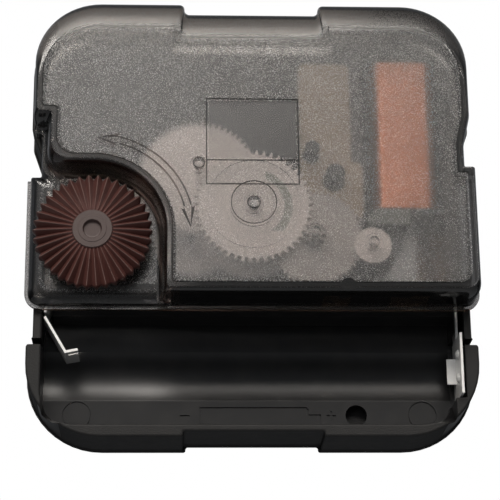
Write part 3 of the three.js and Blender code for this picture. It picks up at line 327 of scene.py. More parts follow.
smokeLook = {
    "clear": 0.956, "refraction": 1.46, "coatRough": 0.3, "facing": (0.86, 0.99),
    # the cover's surfaces by their depth
    "face": (13.69, 13.72), "floor": (9.32, 9.385), "panel": (13.63, 13.66),
    "groove": (13.5, 13.615), "border": 13.735, "byKnob": (-6, -10),
    # the ridge under the top edge, by how far the surface leans upward; it carries a pale painted highlight
    "ridgeIn": (0.11, 0.25), "ridgeOut": (0.44, 0.62), "ridgeAbove": 15, "ridgeBehind": 11.2,
    "ridgeFade": (9, 20), "ridgeLoss": 0.7, "edgeAbove": 21.4, "edgeBehind": 12.6,
    "edgeAcross": (-24.5, 24.5), "ridgeHighlightColours": ((0.80, 0.62, 0.49), (1.0, 0.89, 0.77)),
    # the frosting, and a shade that deepens to the upper right
    "grain": 8600, "grainBand": (0.30, 0.70), "panelClear": 0.8,
    "frost": ((0.55, 0.525, 0.505), (0.84, 0.805, 0.78)), "shadeColour": (0.16, 0.152, 0.15),
    "shades": (((5, 17), (18, 24), 0.55), ((-6, 20), (2, 16), 0.2)),
    # the walls: black, with a warm painted highlight beside the knob, brown at the foot and in patches above it
    "wall": (0.008, 0.008, 0.009), "knobWallHighlight": (0.085, 0.055, 0.045), "knobAcross": (-27, -9),
    "knobBelow": 9, "knobBehind": 9.5, "foot": (-11.5, -11.75), "footFront": 8.2,
    "footColour": (0.30, 0.12, 0.06), "patchColour": (0.30, 0.17, 0.09), "patch": 700,
    "patchBand": (0.36, 0.5), "patchBelow": -10.7, "patchDepth": (8.3, 12.2),
    "patchAcross": ((8.4, 11.7), (16.6, 21.2)), "grooveShade": 0.93, "borderDark": 0.9,
    "rough": (0.06, 0.12, 0.08, 0.15, 0.12, 0.04), "streak": 160,
    "coat": (0.40, -0.36, 0.65, 0.75), "bumpShares": (0.2, 0.8), "bump": (0.32, 0.00002),
}


def smokePlastic():
    # clear and frosted where it faces the rear, nearly black where one looks along its walls
    s = smokeLook
    f = Finish("smokePlastic", Transmission_Weight=s["clear"], IOR=s["refraction"],
               Coat_Roughness=s["coatRough"])
    _, rearward, lean = f.axes(f.node("ShaderNodeTexCoord", output="Normal"))
    facing = f.ease(abs(rearward), *s["facing"])
    # the ridge band, where a painted highlight lies, is weaker to the right
    ridge = f.ease(lean, *s["ridgeIn"]) * (1 - f.ease(lean, *s["ridgeOut"]))
    ridge = ridge * (f.height > s["ridgeAbove"]) * (f.depth > s["ridgeBehind"])
    ridge = ridge * (1 - f.ease(f.across, *s["ridgeFade"]) * s["ridgeLoss"])
    topEdge = ((f.height > s["edgeAbove"]) * (f.depth > s["edgeBehind"])
               * f.between(f.across, *s["edgeAcross"]))
    fields = f.between(f.depth, *s["face"]) + f.between(f.depth, *s["floor"])
    face = fields.maths("MAXIMUM", topEdge)
    panel = f.between(f.depth, *s["panel"])
    # the polished border is darkened towards the wall colour, except beside the knob, where it keeps the pale
    # frost as a painted highlight
    border = (f.depth > s["border"]) * facing * (1 - topEdge) * (1 - f.ease(f.across, *s["byKnob"]))
    groove = f.between(f.depth, *s["groove"]) * facing * (1 - ridge) * (1 - topEdge)
    grain = f.ease(f.noise(s["grain"], 1), *s["grainBand"])
    body = f.mixed(grain * (1 - panel * s["panelClear"]), *s["frost"])
    corner, side = (f.ease(f.across, *across) * f.ease(f.height, *height) * share
                    for across, height, share in s["shades"])
    body = f.mixed((corner + side) * (1 - panel), body, s["shadeColour"])
    # painted highlight: the walls beside the knob turn warm brown
    byKnob = (f.between(f.across, *s["knobAcross"]) * (f.height < s["knobBelow"])
              * (f.depth > s["knobBehind"]))
    low = (f.height < s["patchBelow"]) * f.between(f.depth, *s["patchDepth"])
    low = low * f.ease(f.noise(s["patch"]), *s["patchBand"])
    left, right = (f.between(f.across, *across) for across in s["patchAcross"])
    wall = f.mixed((left + right) * low, f.mixed(byKnob, s["wall"], s["knobWallHighlight"]),
                   s["patchColour"])
    foot = f.ease(f.height, *s["foot"]) * (f.depth < s["footFront"])
    wall = f.mixed(foot, wall, s["footColour"])
    # painted shade: the floors of the engraved lines are darkened towards the wall colour
    clear = facing - groove * s["grooveShade"] - border * s["borderDark"]
    # painted highlight: the ridge is coloured pale beige over the frost and the walls
    f.set("Base Color", f.mixed(ridge, f.mixed(clear, wall, body),
                                f.mixed(grain, *s["ridgeHighlightColours"])))
    rough, onFace, onGrain, onPanel, onRidge, streaks = s["rough"]
    f.set("Roughness", rough + face * (onFace + grain * onGrain) + panel * onPanel
          + ridge * onRidge + f.noise(s["streak"]) * streaks)
    coat, onFace, onRidge, onGrain = s["coat"]
    f.set("Coat Weight", coat + face * onFace + ridge * (onRidge + grain * onGrain))
    panelShare, ridgeShare = s["bumpShares"]
    f.bump(grain * (face + panel * panelShare + ridge * ridgeShare), *s["bump"])
    return f.material


knobLook = {
    "specular": 0.4, "coat": 0.12, "mottle": 700, "hubRadius": 2.44,
    "deep": ((0.055, 0.021, 0.018), (0.092, 0.037, 0.031)),
    "hub": ((0.050, 0.031, 0.028), (0.075, 0.050, 0.045)),
    # the pale crest colour and its band draw a painted highlight
    "wearAndSheen": (0.19, 0.125, 0.11), "crestHighlightBand": (0.86, 1.0), "rough": (0.26, 0.14, 0.15),
    "grain": 3500, "bump": (0.12, 0.00004),
}


def knobPlastic():
    # dark red-brown, with a paler painted highlight on the crests of the ribs
    s = knobLook
    f = Finish("knobPlastic", Specular_IOR_Level=s["specular"], Coat_Weight=s["coat"])
    crest = f.node("ShaderNodeAttribute", output="Fac", attribute_name="crest")
    mottle = f.noise(s["mottle"], 4)
    aside, above = f.across - knobPlace[0], f.height - knobPlace[1]
    hub = aside * aside + above * above < s["hubRadius"] ** 2
    # painted highlight: the crests of the ribs turn pale
    ribs = f.mixed(f.ease(crest, *s["crestHighlightBand"]), f.mixed(mottle, *s["deep"]), s["wearAndSheen"])
    f.set("Base Color", f.mixed(hub, ribs, f.mixed(mottle, *s["hub"])))
    rough, spread, onHub = s["rough"]
    f.set("Roughness", rough + mottle * spread + hub * onHub)
    f.bump(f.noise(s["grain"], 2), *s["bump"])
    return f.material


wheelLook = {
    # the recess radii and colour draw a painted shade
    "cloud": 300, "milky": ((0.86, 0.79, 0.77), (0.96, 0.90, 0.88)), "recessShade": (3.8, 4.8),
    "grey": ((0.49, 0.45, 0.435), (0.59, 0.55, 0.53)), "recessShadeColour": (0.44, 0.46, 0.41),
    "recessFrom": (1.5, 11, -3.2), "rough": (0.42, 0.15), "grain": 2600, "bump": (0.1, 0.00003),
}


def wheelPlastic(name="wheelPlastic", tone="milky"):
    # a greenish arc of painted shade shows where the second wheel is sunk, between two radii of its spindle
    s = wheelLook
    f = Finish(name)
    cloud = f.noise(s["cloud"])
    inner, outer = s["recessShade"]
    across, depth, height = s["recessFrom"]
    recessShade = f.between(f.across * f.across + f.height * f.height, inner ** 2, outer ** 2)
    recessShade = recessShade * (f.depth > depth) * (f.across > across) * (f.height > height)
    # painted shade: the sunk arc is mixed towards a darker greenish grey
    f.set("Base Color", f.mixed(recessShade, f.mixed(cloud, *s[tone]), s["recessShadeColour"]))
    rough, spread = s["rough"]
    f.set("Roughness", rough + cloud * spread)
    f.bump(f.noise(s["grain"], 2), *s["bump"])
    return f.material


def clouded(name, scale, tones, rough, shift=None):
    # a plain resin whose tone drifts between two colours; a shift takes over where it is 1
    f = Finish(name)
    tone = f.mixed(f.noise(scale), *tones)
    if shift:
        tone = f.mixed((f.depth > shift[0]) * (f.height > shift[1]), tone, shift[2])
    f.set("Base Color", tone)
    plain, spread, waves = rough
    f.set("Roughness", plain + f.noise(waves) * spread)
    return f.material


metalLook = {"lines": 1500, "smoother": 0.06, "spread": 0.14, "bump": (0.12, 0.00002)}


def metal(name, dark, light, rough, stretch=(1, 1, 1), metallic=1.0, dull=None):
    # fine lines stretched along the way it was worked; past two places it may turn dull
    s = metalLook
    f = Finish(name, Metallic=metallic)
    lay = f.noise(s["lines"], 4, stretch)
    tone = f.mixed(lay, dark, light)
    if dull:
        tone = f.mixed((f.height > dull[0]) * (f.across > dull[1]), tone, dull[2])
    f.set("Base Color", tone)
    f.set("Roughness", rough - s["smoother"] + lay * s["spread"])
    f.bump(lay, *s["bump"])
    return f.material


resinLook = {
    "coat": 0.2, "tracks": {"Scale": 120, "Distortion": 3, "Detail": 2}, "trackBand": (0.4, 0.6),
    "brown": ((0.20, 0.105, 0.055), (0.11, 0.055, 0.03)), "rough": (0.35, 0.2, 800),
}


def boardResin():
    # brown laminate with darker tracks running across it
    s = resinLook
    f = Finish("boardResin", Coat_Weight=s["coat"])
    tracks = f.node("ShaderNodeTexWave", {"Vector": f.place, **s["tracks"]},
                    bands_direction="X")
    f.set("Base Color", f.mixed(f.ease(tracks, *s["trackBand"]), *s["brown"]))
    rough, spread, waves = s["rough"]
    f.set("Roughness", rough + f.noise(waves) * spread)
    return f.material


# the bobbin is paler on top, and the crystal's can is duller than the contacts in the bay
bobbinLook = {
    "scale": 500, "tones": ((0.055, 0.06, 0.062), (0.085, 0.09, 0.09)), "rough": (0.5, 0.15, 1200),
    "shift": (11.4, -5, (0.21, 0.225, 0.205)),
}
canDull = (-11.4, 15, (0.17, 0.17, 0.175))
looks = {
    "case_plastic": casePlastic(),
    "smoke_cover": smokePlastic(),
    "knob_plastic": knobPlastic(),
    "wheel_plastic": wheelPlastic(),
    "bobbin_plastic": clouded("bobbinPlastic", **bobbinLook),
    "holder_plastic": clouded("holderPlastic", 350, ((0.40, 0.31, 0.23), (0.52, 0.42, 0.32)),
                              (0.45, 0.15, 350)),
    "brass": metal("turnedBrass", (0.62, 0.43, 0.19), (0.78, 0.58, 0.30), 0.28, (1, 6, 1)),
    "steel": metal("plainSteel", (0.24, 0.245, 0.25), (0.36, 0.365, 0.37), 0.38, (1, 1, 5)),
    "nickel": metal("brightNickel", (0.84, 0.83, 0.80), (0.95, 0.94, 0.92), 0.34,
                    metallic=0.55, dull=canDull),
    "copper_wire": metal("copperWire", (0.64, 0.23, 0.115), (0.80, 0.345, 0.19), 0.36, (1, 1, 9)),
    "board": boardResin(),
    "ferrite": metal("ferriteMagnet", (0.06, 0.06, 0.065), (0.11, 0.11, 0.115), 0.5),
    "epoxy": clouded("bobbinPlastic", **bobbinLook),
}
# the wheel beside the rotor is of a greyer plastic, and the stator's leg is dull
ownLooks = {
    "intermediate_wheel": wheelPlastic("greyPlastic", "grey"),
    "stator_long_leg": metal("dullSteel", (0.07, 0.065, 0.07), (0.11, 0.105, 0.11), 0.5,
                             (1, 1, 5)),
}
print("materials ready:", len(looks) + len(ownLooks))


# in millimetres, like all sizes from here on: how far a cut runs past the surface
over = 1

# Case: one moulding with the dial plate, the walls, the battery bay and the posts
caseSpec = {
    "half": 28, "upperCorner": 8.5, "lowerCorner": 9.5, "notchHalf": 8.2, "upperNotch": 1.4,
    "lowerNotch": 0.65, "notchRound": 0.65, "lowRound": 0.3, "shoulder": 12, "taper": 4,
    "taperRound": 2, "waist": 1.4, "rimIn": 0.8, "foot": -11.6, "footRound": 0.1, "step": -16.4,
    "stepRun": 1.2, "stepRound": 0.4, "chamberRound": 0.5, "plate": 1.3, "wall": 1.2, "rim": 7.3,
    "draft": 0.3, "edge": 0.3, "edgeSteps": 4, "rimSlot": (-40, 40, -16.2, -15.4),
    "rimSlotFront": 4.2, "stemHole": 4.3, "holeRear": 3,
}
baySpec = {
    "left": -25.8, "right": 24.7, "top": -12.1, "bottom": -26.1, "floor": 1.9, "corner": 4.2,
    "wall": 1.1, "topRound": 0.2, "lip": 0.3, "axis": -18.75, "troughRadius": 7.4, "trough": 1.2,
    "troughSteps": 160, "hole": (12.9, -23.75), "holeRadius": 1.33, "holeFront": 0.4,
    "contactPocket": (23.7, 26, -22.85, -14.65), "slotFront": 2.3,
    "slots": ((24.8, 26, -15.95, -9.1), (-25.8, -24.6, -13.1, -10)),
}
# engraved marks on the bay's flat ledge: moulding marks, a cell outline and its signs
markSpec = {
    "depth": (1.75, 2.1), "ringAt": ((-21.6, -23.75), (21.1, -23.75)), "ring": (1.65, 0.13),
    # left, low, width and height of each line, where 0 takes the line's own width
    "line": 0.22,
    "lines": ((-6.5, -22.9, 13.3, 0), (-6.5, -25.6, 0, 2.7), (6.8, -23.6, 0, 0.7),
              (6.8, -23.82, 1.5, 0), (8.3, -24.9, 0, 1.3), (9.2, -23.9, 1.2, 0),
              (9.7, -24.5, 0, 1.3), (-8.9, -23.9, 1.2, 0)),
}
postSpec = {
    "front": 1, "bearing": 1.3, "knobBearing": 2.4, "bearingTop": 1.9, "wheelPost": 0.75,
    "wheelPostTop": 5, "pillars": ((7.4, 7.8, 0.9), (10.2, 4.4, 1.2)), "seatWidth": 0.45,
    "seat": 8.3, "pillarTop": 12.2, "pillarEdge": 0.1, "pivotHole": 0.65, "knobHole": 1.5,
    "holeDepth": (0.7, 7),
}


def upperOutline(inset):
    # the case's outline from the notch at the top to the waist at the side
    c = caseSpec
    side, notch = c["half"] - inset, c["notchHalf"] + inset
    return [
        [notch, side - c["upperNotch"], c["notchRound"]], [notch, side, c["notchRound"]],
        [side, side, c["upperCorner"] - inset], [side, c["shoulder"], c["taperRound"]],
        [side - c["waist"], c["shoulder"] - c["taper"], c["taperRound"]],
    ]


def caseOutline(inset):
    # the whole case: under the waist it steps out to the foot, with a notch at the bottom
    c = caseSpec
    side, notch = c["half"] - inset, c["notchHalf"] + inset
    return roundedOutline(mirrored(upperOutline(inset) + [
        [side - c["waist"], c["foot"], c["footRound"]],
        [side - c["rimIn"], c["foot"], c["footRound"]],
        [side - c["rimIn"], c["step"] + c["stepRun"], c["stepRound"]],
        [side, c["step"], c["stepRound"]], [side, -side, c["lowerCorner"] - inset],
        [notch, -side, c["lowRound"]], [notch, c["lowerNotch"] - side, c["lowRound"]],
    ]))


def chamberOutline(inset):
    # the case without its foot: it ends flat above the battery bay
    c, b = caseSpec, baySpec
    waist = c["half"] - inset - c["waist"]
    return roundedOutline(mirrored(upperOutline(inset) + [
        [waist, b["top"] + b["wall"], c["chamberRound"]],
    ]))


def bayOutline(grow):
    # a rectangle with well rounded lower corners, grown on every side
    b = baySpec
    left, right = b["left"] - grow, b["right"] + grow
    top, bottom = b["top"] + grow, b["bottom"] - grow
    return roundedOutline([
        [left, top, b["topRound"]], [right, top, b["topRound"]],
        [right, bottom, b["corner"] + grow], [left, bottom, b["corner"] + grow],
    ])


def builtTrough():
    # a lying cylinder: both ends of the bay carry the same circle round the cell's axis
    b = baySpec
    angle = np.linspace(0, 2 * np.pi, b["troughSteps"], endpoint=False)
    ends, radius = np.array([b["left"], b["right"]]), b["troughRadius"]
    return meshFrom("trough", np.stack(np.broadcast_arrays(
        ends[:, None], -(b["trough"] + radius) + radius * np.cos(angle),
        b["axis"] + radius * np.sin(angle)), 2))


def builtMarks():
    # two rings, then one straight line for each row of the table
    m = markSpec
    marks = [ring("mark", *m["ring"], *m["depth"], middle, someSteps)
             for middle in m["ringAt"]]
    for left, low, width, height in m["lines"]:
        right, high = left + (width or m["line"]), low + (height or m["line"])
        marks.append(slab("cellMark", left, right, low, high, *m["depth"]))
    return marks


def builtCase():
    # the outer walls, less the chamber, the bay and its slots, then posts and bearings
    c, b, p = caseSpec, baySpec, postSpec
    edge, rear, rounding = c["edge"], c["rim"] + over, easing(c["edgeSteps"])
    levels = [(caseOutline(edge - edge * share), edge - edge * rise)
              for share, rise in reversed(rounding)]
    levels += [(caseOutline(c["draft"] + edge * share), c["rim"] - edge + edge * rise)
               for share, rise in rounding]
    lip, brim = b["lip"], c["rim"] - b["lip"]
    bay = [(bayOutline(0), b["floor"])]
    bay += [(bayOutline(lip * share), brim + lip * rise) for share, rise in rounding]
    bay += [(bayOutline(lip), rear)]
    hollow = carved(lofted("caseShell", levels), [
        prism("chamber", chamberOutline(c["wall"] + c["draft"]), c["plate"], rear),
        lofted("bay", bay), builtTrough(),
        slab("contactPocket", *b["contactPocket"], b["floor"], rear),
        *(slab("contactSlot", *slot, b["slotFront"], rear) for slot in b["slots"]),
        slab("rimSlot", *c["rimSlot"], c["rimSlotFront"], rear),
        disc("cellHole", b["holeRadius"], b["holeFront"], c["holeRear"], b["hole"]),
        disc("stemHole", c["stemHole"], -over, c["holeRear"]), *builtMarks()])
    pivots = [wheelPlaces[name] for name in ("third", "intermediate", "rotor")]
    front, bearingTop = p["front"], p["bearingTop"]
    posts = [disc("bearing", p["bearing"], front, bearingTop, place) for place in pivots]
    posts += [disc("knobBearing", p["knobBearing"], front, bearingTop, knobPlace)]
    posts += [disc("wheelPost", p["wheelPost"], front, p["wheelPostTop"], wheelPlaces[name],
                   fewSteps) for name in ("minute_gear", "idler")]
    for x, y, radius in p["pillars"]:
        foot, top, chamfer = radius + p["seatWidth"], p["pillarTop"], p["pillarEdge"]
        profile = [(foot, front), (foot, p["seat"]), (radius, p["seat"]),
                   (radius, top - chamfer), (radius - chamfer, top)]
        posts.append(turned("pillar", profile, (x, y), someSteps))
    holes = [disc("pivotHole", p["pivotHole"], *p["holeDepth"], place, fewSteps)
             for place in pivots]
    holes.append(disc("knobHole", p["knobHole"], *p["holeDepth"], knobPlace, fewSteps))
    return carved(hollow, holes, posts)


finished(builtCase(), "movement_case", "case_plastic", ["front_case"])
print("case built")


# Rear cover: a raised field, a low pocket for the knob, and the foot that closes on the case
coverSpec = {
    "top": 13.75, "wall": 1.0, "foot": 7.6, "sideStep": 0.5, "rise": 2.6, "topRound": 5.6,
    "sideRound": 0.6, "pocketRound": 0.7, "lowRound": 0.8, "edgeSteps": 9, "outlineSteps": 16,
    "pocket": 9.4, "pocketReach": 8.5, "pocketStep": 2.0, "jogLeft": -25.4, "jogTop": 11.4,
    "jogRound": 2.2, "jogEdge": 0.5, "rimRound": 2.0, "rimRise": 1.4, "rimSteps": 8,
    "wing": 27.6, "wingTop": 5.2, "wingRound": 0.25, "footCorner": 1.6, "blunt": 0.05,
    "flange": 0.4, "flangeDepth": 0.5, "flangeWidth": 0.5, "cove": 0.7, "coveSteps": 5,
    "knobHole": (1.5, 0, 13), "through": (0, 20),
    # tabs beside the case, and a lip and a ledge that enter it
    "tabAcross": (26.8, 27.5), "tabHeight": (-9.5, 4.7), "tabDepth": (-2, 0.9), "tabRound": 0.2,
    "lipGap": 0.3, "lipWidth": 0.7, "ledgeOver": 0.15, "lipEnd": (-50, 50, -50, -9.6, 0, 13),
    # bearings on the inside, by body: the bore, and a boss a little wider than it
    "bores": {"third": 0.65, "intermediate": 0.65, "rotor": 0.65, "second_hand_shaft": 0.75},
    "boreDepth": (-1, 0.6), "bossWidth": (0.45, 0.5), "bossDepth": (-0.3, 0.2),
    "thinRing": (2.95, 2.75, -0.2, 0.3),
}
# lines, panel and fields that are cut into the cover's faces
engraving = {
    "border": 0.45, "sunk": 0.05, "fieldRise": 2.0, "floorReach": -0.9, "edgeLine": 0.14,
    "edgeDeep": 0.1, "deep": 0.12, "line": 0.16, "panel": (-5.85, 5.65, 2.27, 13.75),
    "divide": 5.42, "panelIn": 0.4, "panelDeep": 0.06, "panelRound": 0.1,
    "rings": ((wheelPlaces["third"], 0.6, 0.16), ((0, 0), 0.7, 0.14), ((0, 0), 2.7, 0.13)),
    "notch": (11.3, 0.9), "notchRadius": 1, "notchDeep": 0.15,
    # the setting arrow round the knob: width, head, first and last degree of its outline
    "arrowRadius": 11.9, "arrow": (1.04, 0.86, 1, 88), "arrowInside": (0.62, 0.50, 2.5, 86.5),
    "arrowHead": 12.5, "arrowShaft": 11.5, "arrowSteps": 48, "arrowTip": 0.02,
}


def raisedOutline(sideIn, topIn, pocketIn, footIn):
    # the raised part, with an inset of its own at the sides, top, pocket and foot
    c, k = caseSpec, coverSpec
    side = c["half"] - c["draft"] - k["sideStep"] - sideIn
    waist = c["half"] - c["draft"] - c["waist"] - sideIn
    top = c["half"] - c["draft"] - topIn
    notch = c["notchHalf"] + c["draft"] + min(topIn, sideIn)
    corner = c["upperCorner"] - c["draft"] - min(topIn, sideIn)
    wing, wingTop = k["wing"] - sideIn, k["wingTop"] - sideIn
    foot, low, reach = c["foot"] + footIn, top - c["upperNotch"], k["pocketReach"] + pocketIn
    jog, jogTop, jogEdge = k["jogLeft"] + pocketIn, k["jogTop"] + pocketIn, k["jogEdge"]
    bend = c["notchRound"]
    return roundedOutline([
        [-side, jogTop, jogEdge], [-side, top, corner], [-notch, top, bend],
        [-notch, low, bend], [notch, low, bend], [notch, top, bend],
        [side, top, corner], [side, c["shoulder"], c["taperRound"]],
        [waist, c["shoulder"] - c["taper"], c["taperRound"]],
        [waist, wingTop, k["wingRound"]], [wing, wingTop, k["wingRound"]],
        [wing, foot, k["footCorner"]], [knobPlace[0] + reach, foot, jogEdge],
        [knobPlace[0] + reach, knobPlace[1] + reach, reach],
        [jog, knobPlace[1] + reach, k["jogRound"]], [jog, jogTop, jogEdge],
    ], k["outlineSteps"])


def pocketOutline(edgeIn, reach=coverSpec["pocketStep"]):
    # the low part round the knob, which runs on under the raised part by the reach
    c, k = caseSpec, coverSpec
    waist = c["half"] - c["draft"] - c["waist"] - edgeIn
    wing, wingTop, foot = k["wing"] - edgeIn, k["wingTop"] - edgeIn, c["foot"] + edgeIn
    inner, top = knobPlace[0] + k["pocketReach"] + reach, k["jogTop"] + reach
    blunt = k["blunt"]
    return roundedOutline([
        [-waist, top, blunt], [-waist, wingTop, k["wingRound"]], [-wing, wingTop, k["wingRound"]],
        [-wing, foot, k["footCorner"]], [inner, foot, blunt], [inner, top, blunt],
    ])


def coverSolid(name, grow, front, top, pocket, cove):
    # both parts rise straight, then round over as quarter circles; a cove fills the inner corner
    k = coverSpec
    raised = [(raisedOutline(grow, grow, grow - cove, grow), front)]
    if cove:
        raised += [(raisedOutline(grow, grow, grow - cove * share, grow),
                    pocket + cove * (1 - rise)) for share, rise in reversed(easing(k["coveSteps"]))]
    raised += [(raisedOutline(*(grow + k[part] * share for part in
                                ("sideRound", "topRound", "pocketRound", "lowRound"))),
                top - k["rise"] + k["rise"] * rise) for share, rise in easing(k["edgeSteps"])]
    low = [(pocketOutline(grow), front)]
    low += [(pocketOutline(grow + k["rimRound"] * share),
             pocket - k["rimRise"] + k["rimRise"] * rise) for share, rise in easing(k["rimSteps"])]
    return carved(lofted(name, raised), joins=[lofted("lowPart", low)])


def footOutline(reach, top):
    # a rectangle with rounded lower corners, which reaches past the foot on three sides
    k = coverSpec
    side, foot, corner = k["wing"] + reach, caseSpec["foot"] - reach, k["footCorner"] + reach
    return roundedOutline([[-side, foot, corner], [side, foot, corner],
                           [side, top, k["blunt"]], [-side, top, k["blunt"]]])


def arrowOutline(width, head, start, end):
    # a band along an arc about the knob, with a pointed head at each end
    e = engraving
    barb, neck, steps, tip = (e[part] for part in ("arrowHead", "arrowShaft", "arrowSteps",
                                                   "arrowTip"))
    shaft = np.linspace(start + neck, end - neck, steps)
    stations = np.radians([start, start + barb, *shaft, end - barb, end])
    half = np.array([tip, head, *[width / 2] * steps, head, tip])
    across = np.stack([np.cos(stations), np.sin(stations)], 1)
    outer = across * (e["arrowRadius"] + half)[:, None]
    inner = across * (e["arrowRadius"] - half)[:, None]
    return np.concatenate([outer, inner[::-1]]) + knobPlace


def coverShell():
    # the outer solid less the same solid one wall smaller, with flange, tabs, lip and ledge
    c, k = caseSpec, coverSpec
    foot, wall = k["foot"], k["wall"]
    shell = coverSolid("rearCover", 0, foot, k["top"], k["pocket"], k["cove"])
    hollow = coverSolid("coverHollow", wall, foot - over, k["top"] - wall, k["pocket"] - wall, 0)
    flangeTop = foot + k["flangeDepth"]
    outer = footOutline(k["flange"], k["wingTop"] - k["flangeWidth"])
    inner = footOutline(-k["flangeWidth"], k["wingTop"])
    flange = carved(prism("footFlange", outer, foot, flangeTop),
                    [prism("flangeHollow", inner, foot - over, foot + over)])
    front, rear = (foot + depth for depth in k["tabDepth"])
    tabs = [slab("wing", *sorted(sign * x for x in k["tabAcross"]), *k["tabHeight"],
                 front, rear, k["tabRound"]) for sign in (-1, 1)]
    lip = c["wall"] + c["draft"] + k["lipGap"]
    inside = chamberOutline(lip + k["lipWidth"])
    tongue = carved(prism("lip", chamberOutline(lip), c["rim"] - over, foot + k["lipGap"]),
                    [prism("lipHollow", inside, c["rim"] - 2 * over, foot + over),
                     slab("lipEnd", *k["lipEnd"])])
    ledge = carved(prism("ledge", chamberOutline(c["wall"] - k["ledgeOver"]), foot, flangeTop),
                   [prism("ledgeHollow", inside, foot - over, foot + over),
                    slab("ledgeEnd", *k["lipEnd"])])
    return carved(carved(shell, [hollow]), joins=[flange, *tabs, tongue, ledge])


def coverFields():
    # the frosted fields lie a hair below the polished border that runs round them
    k, e = coverSpec, engraving
    border, top, pocket = e["border"], k["top"] - e["sunk"], k["pocket"] - e["sunk"]
    insets = [k["sideRound"] + border, k["topRound"] - e["fieldRise"],
              k["pocketRound"] + border, k["lowRound"] + border]
    field = raisedOutline(*insets)
    within = raisedOutline(*(inset + e["edgeLine"] for inset in insets))
    edgeLine = carved(prism("edgeLine", field, top - e["edgeDeep"], top + over),
                      [prism("edgeInside", within, *k["through"])])
    floor = pocketOutline(k["rimRound"] + border, e["floorReach"])
    raised = raisedOutline(*[-border] * 4)
    return [prism("faceField", field, top, top + over), edgeLine,
            carved(prism("floorField", floor, pocket, k["pocket"] + over),
                   [prism("floorEnd", raised, *k["through"])])]


def coverMarks():
    # engraved lines: a bare framed panel, the setting arrow and small moulding marks
    k, e = coverSpec, engraving
    top, line = k["top"] - e["sunk"], e["line"]
    low, high = top - e["deep"], top + over
    left, right, foot, head = e["panel"]
    first, *others = [slab("panelLine", *box, low, high) for box in (
        (left, right, head - line, head), (left, right, foot, foot + line),
        (left, right, e["divide"], e["divide"] + line),
        (left, left + line, foot, head), (right - line, right, foot, head))]
    arrow = carved(prism("settingArrow", arrowOutline(*e["arrow"]), low, high),
                   [prism("arrowInside", arrowOutline(*e["arrowInside"]), *k["through"])])
    inset = e["panelIn"]
    marks = [carved(first, joins=others), arrow,
             slab("panelField", left + inset, right - inset, e["divide"] + inset, head - inset,
                  top - e["panelDeep"], high, e["panelRound"])]
    for place, radius, width in e["rings"]:
        marks.append(ring("moulding", radius, width, low, high, place))
    return marks


def builtCover():
    # the shell with a boss round each bearing, less its fields, marks, bores and holes
    k, e = coverSpec, engraving
    top, inside = k["top"] - e["sunk"], k["top"] - k["wall"]
    whole, fields, marks = coverShell(), coverFields(), coverMarks()
    bosses, bores = [], []
    (narrow, wide), (bossLow, bossHigh) = k["bossWidth"], k["bossDepth"]
    for name, bore in k["bores"].items():
        place, (front, rear) = wheelPlaces[name], k["boreDepth"]
        profile = [(bore + narrow, inside + bossLow), (bore + wide, inside + bossHigh)]
        bosses.append(turned("boss", profile, place, fewSteps))
        bores.append(disc("bore", bore, inside + front, inside + rear, place, fewSteps))
    radius, width, front, rear = k["thinRing"]
    thinRing = ring("thinRing", radius, width, inside + front, inside + rear)
    across, above = e["notch"]
    cutters = [disc("knobHole", *k["knobHole"], knobPlace, someSteps),
               disc("edgeNotch", e["notchRadius"], top - e["notchDeep"], top + over,
                    (across, caseSpec["foot"] + above), someSteps)]
    return carved(carved(whole, joins=bosses), [*fields, *marks, *bores, thinRing, *cutters])


finished(builtCover(), "movement_case", "smoke_cover", ["rear_cover"], 25)
print("cover built")


# Setting knob: V-shaped ribs that run from the hub to a serrated edge
knobSpec = {
    "ribs": 38, "ribSteps": 10, "ribRows": 12, "ribStart": 0.03, "crestWidth": 1.06,
    "crestSharp": 1.15, "radius": 7.3, "serration": 0.45, "groove": 0.75, "grooveStart": 0.15,
    "hub": 2.45, "hubEdge": 0.02, "top": 13.4, "edgeTop": 12.9, "slope": 1.5, "edgeRound": 0.22,
    "edgeDrop": 0.3, "edgeSteps": 4, "edgeFade": 0.5, "skirtCrest": 0.4, "skirt": 0.2,
    "front": 11.5,
    # radius and depth of the round parts: dimple and hub, then collar and shaft
    "hubRows": ((0.81, 13.1), (1.0044, 13.145), (1.08, 13.43), (1.18, 13.55), (1.70, 13.55),
                (1.74, 13.5), (2.37, 13.5), (2.45, 13.43)),
    "shaftRows": ((2.6, 11.5), (2.6, 9.7), (1.2, 9.7), (1.2, 1.0)),
}


